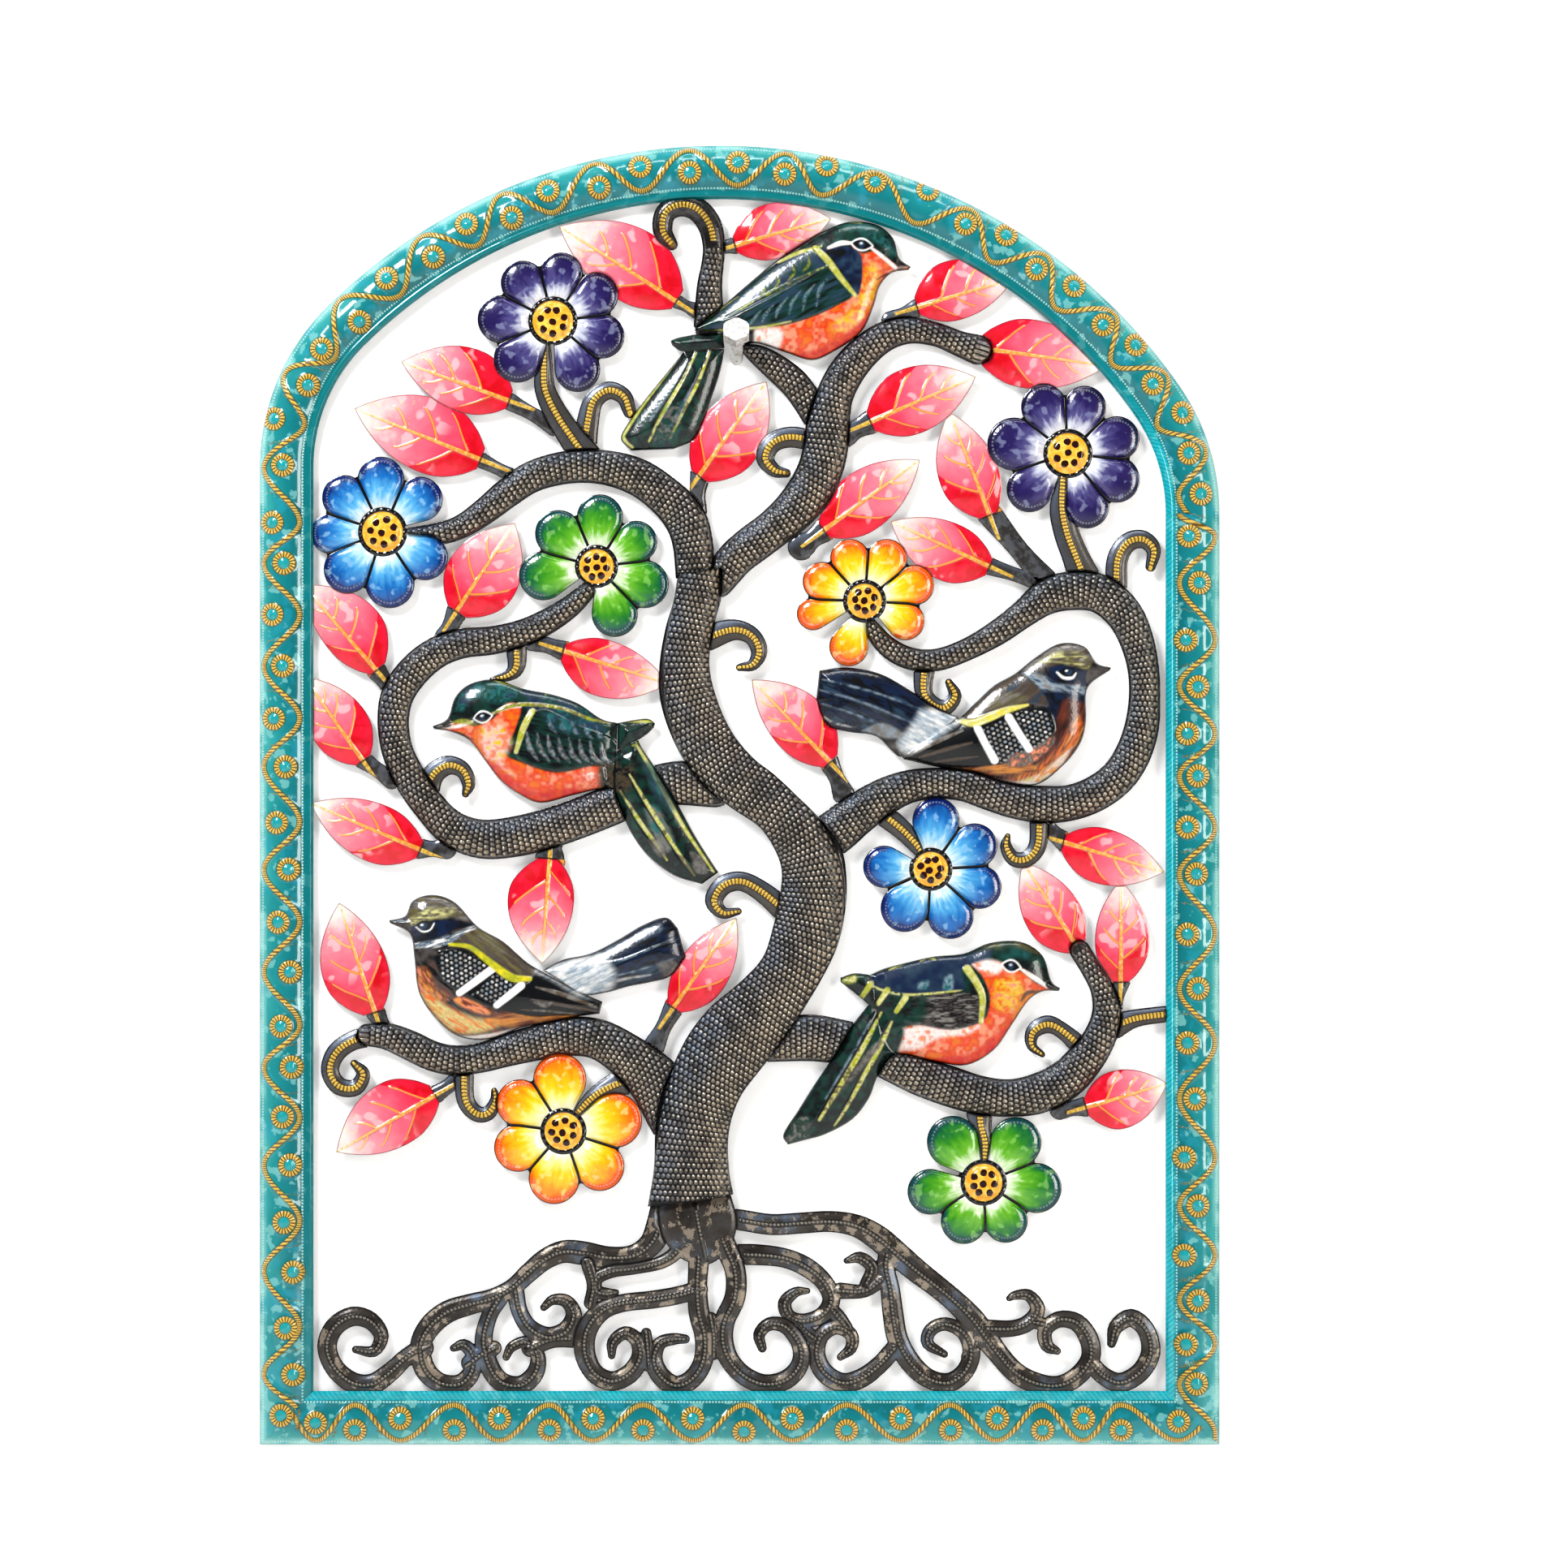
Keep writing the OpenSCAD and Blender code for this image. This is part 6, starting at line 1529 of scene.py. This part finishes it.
BIRD_MARKS["bird_lower_left"] = [
    "stone black umber",
    area("olive stone grey", [[-222, 353], [-218, 363], [-205, 367], [-190, 361], [-178, 349], [-190, 352],
        [-205, 353]], 1.5, (10, 1.6, -6)),
    area("grey pale stone", [[-214, 356], [-204, 359], [-192, 356], [-198, 352], [-212, 353]], 2,
        (9, 1.2, -8), 0.8),
    area("brown stone black", [[-219, 334], [-206, 336], [-192, 334], [-202, 326], [-199, 312], [-184, 300],
        [-160, 290], [-120, 288], [-98, 288], [-112, 284], [-150, 278], [-170, 270], [-190, 272],
        [-206, 285], [-216, 302], [-219, 325]], 1.5, (12, 2, -40), lift=0.3),
    area("black stone", [[-220, 334], [-204, 336], [-190, 336], [-200, 324], [-212, 322], [-219, 326]], 2.5,
        5),
    area("salmon brown amber", [[-216, 318], [-208, 318], [-202, 306], [-194, 298], [-206, 296],
        [-214, 304]], 2.5, (8, 1.6, -60), 0.9),
    area("amber pale orange", [[-213, 302], [-206, 302], [-196, 294], [-178, 286], [-160, 282], [-172, 276],
        [-190, 276], [-204, 288]], 2.5, (10, 1.8, -35), 0.95),
    area("amber salmon brown", [[-186, 300], [-172, 294], [-166, 288], [-178, 290], [-190, 297]], 1.2,
        (6, 1.4, -30)),
    area("brown amber", [[-160, 289], [-110, 288], [-112, 284], [-150, 279], [-170, 284]], 1.5, (14, 1.6, 6),
        0.8),
    line("white blush", [[-200, 281, 1], [-192, 274, 3], [-182, 271, 4.5], [-162, 274, 3.5], [-138, 280, 2],
        [-100, 287, 1.2]], 0.9),
    area("black navy", [[-223, 348], [-216, 347], [-203, 350], [-189, 350], [-177, 347], [-189, 344],
        [-200, 339], [-215, 335], [-219, 336], [-223, 341]], 0.8),
    area("mist slate white", [[-219, 335], [-205, 337], [-192, 341], [-176, 347], [-174, 343], [-190, 336],
        [-204, 332], [-217, 332]], 1.0, (8, 1.4, 18)),
    area("olive stone umber", [[-191, 336], [-182, 342], [-172, 345], [-160, 337], [-147, 327], [-136, 316],
        [-140, 310], [-152, 312], [-170, 326], [-182, 333]], 0.8, (14, 2, -40), lift=0.4),
    area("grey olive stone", [[-178, 340], [-170, 341], [-156, 331], [-160, 329], [-172, 335]], 2,
        (10, 1.4, -35), 0.7),
    area("black", [[-201, 330], [-186, 332], [-175, 327], [-167, 321], [-160, 314], [-150, 309], [-141, 309],
        [-136, 315], [-123, 310], [-101, 299], [-91, 292], [-93, 287.5], [-120, 287], [-139, 286.5],
        [-155, 290], [-167, 293], [-180, 299], [-189, 304], [-198, 312], [-202, 321]], 0.6, lift=0.8),
    area("mist grey white", [[-200, 328], [-186, 330], [-169, 320], [-184, 308], [-190, 306], [-198, 313]],
        0.7, 3, 0.95, 0.4, (3.6, -28)),
    area("mist grey white", [[-164, 315], [-150, 308], [-162, 296], [-176, 302], [-178, 300], [-166, 312]],
        0.7, 3, 0.95, 0.4, (3.6, -38)),
    *lines("white", [[-164.6, 318.2, 5.2], [-175, 310.5, 5], [-186.5, 302.2, 4.6]], [[-145.6, 307.1, 5.2],
        [-153, 301, 5], [-161.8, 294, 4.4]], blur=0.35, lift=0.4),
    line("umber grey", [[-136, 306, 1], [-118, 301, 3], [-96, 292.4, 1.5]], lift=0.5),
    line("umber stone", [[-139, 298, 1], [-118, 294, 2.6], [-93, 289, 1.2]], lift=0.5),
    line("grey umber", [[-146, 291, 0.6], [-128, 290, 1.6], [-106, 287.5, 0.8]], full=0.7),
    line("grey stone", [[-137, 296, 1.5], [-130, 294, 3.4], [-125, 296, 1.2]], 0.6, 2, 0.8),
    line("yellow lime", [[-193, 334.4, 2], [-180, 332.6, 3], [-169, 324.6, 4], [-160, 317.6, 5],
        [-151, 312, 5], [-140, 311.5, 3]], 0.6, lift=0.6),
    line("pale stone pale", [[-222, 349, 4], [-216, 350, 6], [-209, 353, 6], [-200, 355.5, 5],
        [-190, 357, 2]], 1.6, (7, 1.6, 0), 0.95),
    area("black stone", [[-235, 349], [-223, 354], [-219, 346], [-222, 340]], 0.5, lift=0.3),
    # Painted highlight along the top of the beak.
    line("mist", [[-230, 349.2, 0.3], [-226, 350, 0.9], [-223, 349.6, 0.3]]),
    area("black", almond(-210, 346.4, 6.4, 3.6, 0), 0.4),
    area("slate navy", almond(-210.5, 346.4, 3.2, 2.8, 0), 0.5, 2),
    # Painted highlight: a small white glint in the eye.
    area("white", almond(-211.5, 347.2, 1.2, 0.8, 0), 0.3),
    line("white", [[-215.6, 345.8, 0.8], [-211, 342.7, 1.1], [-206, 344, 1.1], [-203.3, 348.2, 0.9]], 0.3),
    area("black navy black slate", [[-104, 328], [-82, 337], [-65, 348], [-50, 353], [-40, 345], [-36, 326],
        [-47, 312], [-75, 306], [-88, 306]], 5, (16, 2.6, 24)),
    area("mist white", [[-136, 317], [-118, 323], [-101, 327], [-90, 326], [-84, 314], [-88, 303],
        [-105, 300], [-122, 310]], 4, (9, 1.6, 24), 0.95),
    # Painted highlight: a blue-grey streak along the upper tail.
    area("slate mist navy", [[-96, 328], [-70, 340], [-52, 348], [-58, 342], [-80, 332]], 2, 5, 0.6),
    line("mist slate", [[-96, 321, 0.6], [-76, 325, 1.3], [-44, 339, 0.5]], 0.7, full=0.8, lift=0.6),
    line("mist slate", [[-92, 312, 0.6], [-72, 316, 1.2], [-44, 325, 0.5]], 0.7, full=0.7, lift=0.6),
    line("grey white", [[-94, 306, 0.8], [-78, 311, 1.8], [-60, 314, 0.5]], 0.8, full=0.7),
    line("black", [[-60, 330, 0.8], [-50, 334, 1.5], [-38, 338, 1.0]], lift=-0.4),
    area("grey stone", [[-56, 322], [-46, 324], [-42, 318], [-50, 312]], 1.6, 2.5, 0.7),
]
BIRD_MARKS["bird_middle_right"] = [
    "stone black umber",
    area("stone grey umber", [[186, 516], [196, 526], [212, 534], [228, 532], [234, 522], [214, 524],
        [198, 517]], 1.5, (10, 1.8, 12)),
    area("olive grey stone", [[200, 522], [212, 529], [224, 529], [230, 523], [214, 523]], 2, (9, 1.3, 5),
        0.8),
    area("brown black", [[202, 500], [214, 505], [229, 504], [229, 482], [225, 466], [212, 451], [196, 440],
        [174, 440], [152, 447], [168, 455], [196, 464], [207, 474], [208, 490]], 1.5, (14, 2, 70), lift=0.3),
    area("black navy", [[198, 502], [212, 506], [228, 504], [230, 494], [216, 497], [210, 488], [208, 478],
        [203, 488]], 2.0, 5),
    area("amber brown orange", [[224, 486], [228, 478], [222, 464], [210, 452], [194, 443], [176, 443],
        [192, 450], [208, 462], [216, 474]], 2.2, (12, 1.8, 60), 0.95),
    area("amber brown", [[148, 451], [172, 447], [196, 449], [188, 456], [168, 454]], 1.5, (12, 1.6, 3),
        0.85),
    area("pale blush amber", [[220, 466], [212, 452], [198, 442], [184, 442], [200, 448], [212, 460]], 1.8,
        (8, 1.6, 40), 0.9),
    line("white blush", [[216, 452, 0.8], [204, 442, 2.5], [190, 440.5, 3], [174, 442, 2.4],
        [150, 448, 1.2]], 0.9),
    area("black navy", [[204, 518], [212, 519.5], [222, 517], [235, 515], [230, 506], [220, 504], [208, 505],
        [203, 511]], 0.8),
    area("slate mist grey", [[187, 515], [199, 513], [210, 507], [228, 505], [228, 500], [212, 502],
        [198, 503], [186, 510]], 1.6, (9, 1.8, -22)),
    area("stone umber slate", [[146, 484], [156, 494], [168, 505], [184, 514], [196, 506], [204, 492],
        [188, 494], [168, 486], [154, 481]], 0.9, (16, 2, 40), lift=0.4),
    area("grey olive stone", [[160, 494], [176, 502], [190, 498], [182, 494], [166, 490]], 2, (10, 1.5, 30),
        0.75),
    area("black", [[154, 479], [168, 484], [181, 489], [201, 491], [208, 482], [207, 473], [195, 463],
        [177, 455], [167, 453], [140, 452], [112, 457], [112, 461], [126, 474], [146, 483]], 0.6, lift=0.8),
    area("mist grey white", [[180, 488], [200, 489], [206, 480], [204, 472], [194, 464], [186, 478]], 0.7, 3,
        0.95, 0.4, (3.6, -18)),
    area("mist grey white", [[160, 477], [176, 482], [188, 466], [178, 457], [170, 456]], 0.7, 3, 0.95, 0.4,
        (3.6, -18)),
    area("grey stone salmon", [[178, 460], [192, 464], [207, 472], [206, 466], [192, 454], [176, 453]], 1.2,
        3, 0.9),
    *lines("white", [[177.4, 484.6, 5.4], [184, 474, 5.2], [190.8, 463.7, 5]], [[157, 477, 5],
        [162, 467, 4.8], [168, 456.4, 5.4]], blur=0.35, lift=0.4),
    line("umber grey", [[113, 460, 1.2], [128, 468, 3.2], [147, 476, 1.4]], lift=0.5),
    line("umber stone", [[118, 458, 1.2], [134, 463, 2.8], [153, 468, 1.2]], lift=0.5),
    line("umber stone", [[128, 455, 1], [142, 457, 2.2], [157, 459, 1]], full=0.8, lift=0.4),
    line("yellow pale", [[144, 483, 2.6], [153, 481, 5], [163, 484, 5.4], [176, 489.5, 4.4],
        [190, 493, 1.6]], 0.6, lift=0.6),
    line("pale olive stone", [[199, 521, 2], [209, 524.4, 6], [220, 524, 8.4], [229, 520.5, 7]], 2.0,
        (7, 1.6, 0), 0.9),
    area("black stone", [[246, 517.5], [236, 522], [229, 514], [231, 507]], 0.5, lift=0.3),
    area("black", almond(216.6, 514.6, 6.0, 3.2, 0), 0.4),
    area("slate navy", almond(217, 514.8, 2.8, 2.4, 0), 0.5, 2),
    # Painted highlight: a small white glint in the eye.
    area("white", almond(215.6, 515.6, 1.1, 0.7, 0), 0.3),
    line("white", [[209.3, 514.6, 1.2], [213.8, 511, 2.0], [219.5, 511, 2.0], [222, 514, 1.0]], 0.35),
    area("black navy black slate", [[50, 514], [70, 519], [94, 513], [112, 503], [124, 494], [116, 480],
        [90, 472], [70, 475], [55, 482], [49, 498]], 4, (16, 2.6, -25)),
    area("white mist", [[119, 490], [132, 490], [146, 484], [134, 474], [112, 461], [104, 468], [112, 478]],
        3, (9, 1.6, -28), 0.95),
    line("mist slate", [[54, 510, 0.6], [86, 502, 1.4], [120, 490, 0.8]], 0.8, full=0.85, lift=0.6),
    line("mist slate", [[52, 503, 0.6], [80, 495, 1.3], [114, 481, 0.8]], 0.8, full=0.7, lift=0.6),
    line("slate mist", [[54, 494, 0.6], [78, 486, 1.3], [106, 474, 0.8]], 0.8, full=0.8, lift=0.6),
    # Painted sheen: a grey patch on the tail.
    area("grey mist", [[80, 476], [94, 481], [108, 473], [96, 471]], 1.2, 5, 0.8),
    line("white stone", [[54, 486, 0.5], [62, 481, 1.3], [76, 478, 0.5]], 0.6, 2, 0.7),
]


LATTICE = 97  # cells after which the mottling repeats


def mottle(q, grain, seed):
    """Seeded smooth noise from 0 to 1; grain is its size in mm, or (length, width, turn) for
    streaks."""
    long, wide, turn = grain if isinstance(grain, tuple) else (grain, grain, 0)
    c, s = math.cos(math.radians(turn)), math.sin(math.radians(turn))
    p = np.column_stack([q @ (c, s) / long, q @ (-s, c) / wide])
    table = np.random.default_rng(seed).random((LATTICE, LATTICE))
    total = 0
    for octave, share in ((1, 0.6), (2.3, 0.4)):
        cell = np.floor(p * octave).astype(int)
        a, b = ramp(p * octave - cell, 0, 1).T
        (i, j), (next_i, next_j) = cell.T % LATTICE, (cell.T + 1) % LATTICE
        near = table[i, j] * (1 - a) + table[next_i, j] * a
        far = table[i, next_j] * (1 - a) + table[next_i, next_j] * a
        total = total + share * (near * (1 - b) + far * b)
    return np.clip((total - 0.5) * 2.1 + 0.5, 0, 1)


def blend(tints, tone):
    table = np.array([TINT[t] for t in tints.split()])
    return np.column_stack([np.interp(tone * (len(table) - 1), np.arange(len(table)), c) for c in table.T])


def dot_rows(q, pitch, turn):
    """1 on staggered rows of dots, 0 between them."""
    c, s = math.cos(math.radians(turn)), math.sin(math.radians(turn))
    row = q @ (-s, c) / (0.8 * pitch)
    col = q @ (c, s) / pitch + 0.5 * (np.floor(row) % 2)
    return ramp(np.hypot(row % 1 - 0.5, col % 1 - 0.5), 0.40, 0.20)


DOME, DOME_REACH = 8.0, 24  # a bird's full relief, and how far in from its edge it is reached
SEAM = 5  # how near to another of the bird's forms the dome stays shallow between them


def bird_height(forms, marks, seed):
    def height(q, edge):
        depth = np.sort([form.distance(q) for form in forms], 0)
        own = -depth[0]
        full_depth = own + 0.5 * np.clip(SEAM - depth[1], 0, SEAM)
        coat = blend(marks[0], mottle(q, 9, seed))
        rise = DOME * (1 - (1 - np.clip(full_depth / DOME_REACH, 0, 1)) ** 2) ** 0.72
        for k, (tints, shape, blur, grain, full, lift, dots) in enumerate(marks[1:]):
            near = np.nonzero(by_box(shape, q))[0]
            if not len(near):
                continue
            p = q[near]
            f = shape.distance(p)
            weight = full * ramp(f, blur, -blur)
            if dots:
                weight = weight * dot_rows(p, *dots)
            coat[near] += (blend(tints, mottle(p, grain, seed + k + 1)) - coat[near]) * weight[:, None]
            rise[near] += lift * (weight if dots else ramp(f, 0.6, -1.2))
        coat *= (1 - 0.92 * ramp(own, 1.5, 0.6))[:, None]
        return np.maximum(rise * ramp(full_depth, -0.4, 1.0), 0), dict(tint=coat, own=own)

    return height


def bird_paint(name):
    paint = Paint(name, roughness=0.26, coat=0.7, coat_roughness=0.08)
    grime = paint.noise(2.2, 4).step(0.35, 0.7) * 0.18
    colour = paint.mix(grime, paint.read("tint", "Color"), (0.02, 0.018, 0.016))
    return paint.finish(colour, bump=paint.noise(2.4, 3) * 0.3, depth=0.0004)


COATS = {slot: bird_paint(slot) for slot in ("bird_teal", "bird_brown")}
for k, (name, _) in enumerate(BIRDS):
    forms = bird_forms[k]
    over = [*blooms, SHANK_ROOM] if name == "bird_top" else blooms
    slot = "bird_brown" if name in ("bird_lower_left", "bird_middle_right") else "bird_teal"
    height = bird_height(forms, BIRD_MARKS[name], 100 * (k + 1))
    patches = [patch([form], [*over, *forms[:j]], height, FINE) for j, form in enumerate(forms)]
    hammered("painted_" + name, patches, name, COATS[slot])


# ---- hanging screw -----------------------------------------------------------------------
paint = Paint("screw", roughness=0.3, coat=0.8)
white = paint.mix(paint.noise(3, 4).step(0.4, 0.7), (0.60, 0.59, 0.58), (0.36, 0.345, 0.33))
chips = paint.noise(1.6, 3, shift=4).step(0.66, 0.70)
paint.feed(paint.mix(chips, white, (0.16, 0.13, 0.10)), paint.shader.inputs["Base Color"])
paint.feed(chips * 0.3 + 0.28, paint.shader.inputs["Roughness"])
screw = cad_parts["hanging_screw"]
screw.data.materials.clear()
screw.data.materials.append(paint.material)


# ---- stage: wall, floor, lights, camera --------------------------------------------------
def plain(name, colour):
    material = bpy.data.materials.new(name)
    material.use_nodes = True
    tree = material.node_tree
    shader = tree.nodes["Principled BSDF"]
    shader.inputs["Base Color"].default_value = (*colour, 1)
    shader.inputs["Roughness"].default_value = 0.85
    return material, tree, shader


def rectangle(w, low, high):
    return (-w, low), (w, low), (w, high), (-w, high)


def plane(name, corners, material):
    mesh = bpy.data.meshes.new(name)
    mesh.from_pydata(corners, [], [(0, 1, 2, 3)])
    mesh.materials.append(material)
    obj = bpy.data.objects.new(name, mesh)
    bpy.context.scene.collection.objects.link(obj)


WALL_W, WALL_TOP, FLOOR, FLOOR_W = 1.6, 1.3, -0.86, 6
wall, tree, shader = plain("wall", (0.97, 0.97, 0.97))
shader.inputs["Emission Color"].default_value = (1, 1, 1, 1)
shader.inputs["Emission Strength"].default_value = 0.22
# The wall can only be seen from the front, so that the panel shows from behind too.
clear = tree.nodes.new("ShaderNodeBsdfTransparent")
side = tree.nodes.new("ShaderNodeNewGeometry")
both = tree.nodes.new("ShaderNodeMixShader")
tree.links.new(side.outputs["Backfacing"], both.inputs[0])
tree.links.new(shader.outputs[0], both.inputs[1])
tree.links.new(clear.outputs[0], both.inputs[2])
tree.links.new(both.outputs[0], tree.nodes["Material Output"].inputs["Surface"])
plane("stage_wall", [(x, 0, z) for x, z in rectangle(WALL_W, FLOOR, WALL_TOP)], wall)
floor, _, _ = plain("floor", (0.82, 0.81, 0.79))
plane("stage_floor", [(x, y, FLOOR) for x, y in rectangle(FLOOR_W, -FLOOR_W, FLOOR_W)], floor)


def area_light(name, place, aim, size, power, colour):
    data = bpy.data.lights.new(name, "AREA")
    data.shape, data.size, data.size_y, data.energy, data.color = "RECTANGLE", *size, power, colour
    obj = bpy.data.objects.new(name, data)
    obj.location = place
    obj.rotation_euler = (Vector(aim) - Vector(place)).to_track_quat("-Z", "Y").to_euler()
    bpy.context.scene.collection.objects.link(obj)


MIDDLE = (0.003, 0, -0.29)
area_light("key", (-1.3, -1.7, 1.5), MIDDLE, (0.8, 0.8), 60, (0.96, 0.98, 1.0))
area_light("fill", (1.9, -1.6, -0.1), MIDDLE, (0.6, 1.4), 22, (1.0, 0.96, 0.90))
area_light("top", (0.2, -0.9, 1.9), MIDDLE, (1.4, 0.3), 9, (1.0, 1.0, 1.0))

world = bpy.data.worlds.new("studio")
bpy.context.scene.world = world
world.use_nodes = True
world.node_tree.nodes["Background"].inputs["Color"].default_value = (0.96, 0.98, 1.0, 1)
world.node_tree.nodes["Background"].inputs["Strength"].default_value = 0.11
bpy.context.scene.view_settings.view_transform = "Standard"
bpy.context.scene.view_settings.look = "Medium High Contrast"

VIEW_W = 1.0433  # width of the picture at the wall, in metres
VIEW_FROM = 3.2  # and the camera's distance from it
camera = bpy.data.objects.new("camera", bpy.data.cameras.new("camera"))
SENSOR = 36
camera.data.sensor_width = SENSOR
camera.data.lens = SENSOR * VIEW_FROM / VIEW_W
camera.location = (0.0315, -VIEW_FROM, -0.2834)
camera.rotation_euler = (math.pi / 2, 0, 0)
bpy.context.scene.collection.objects.link(camera)
bpy.context.scene.camera = camera
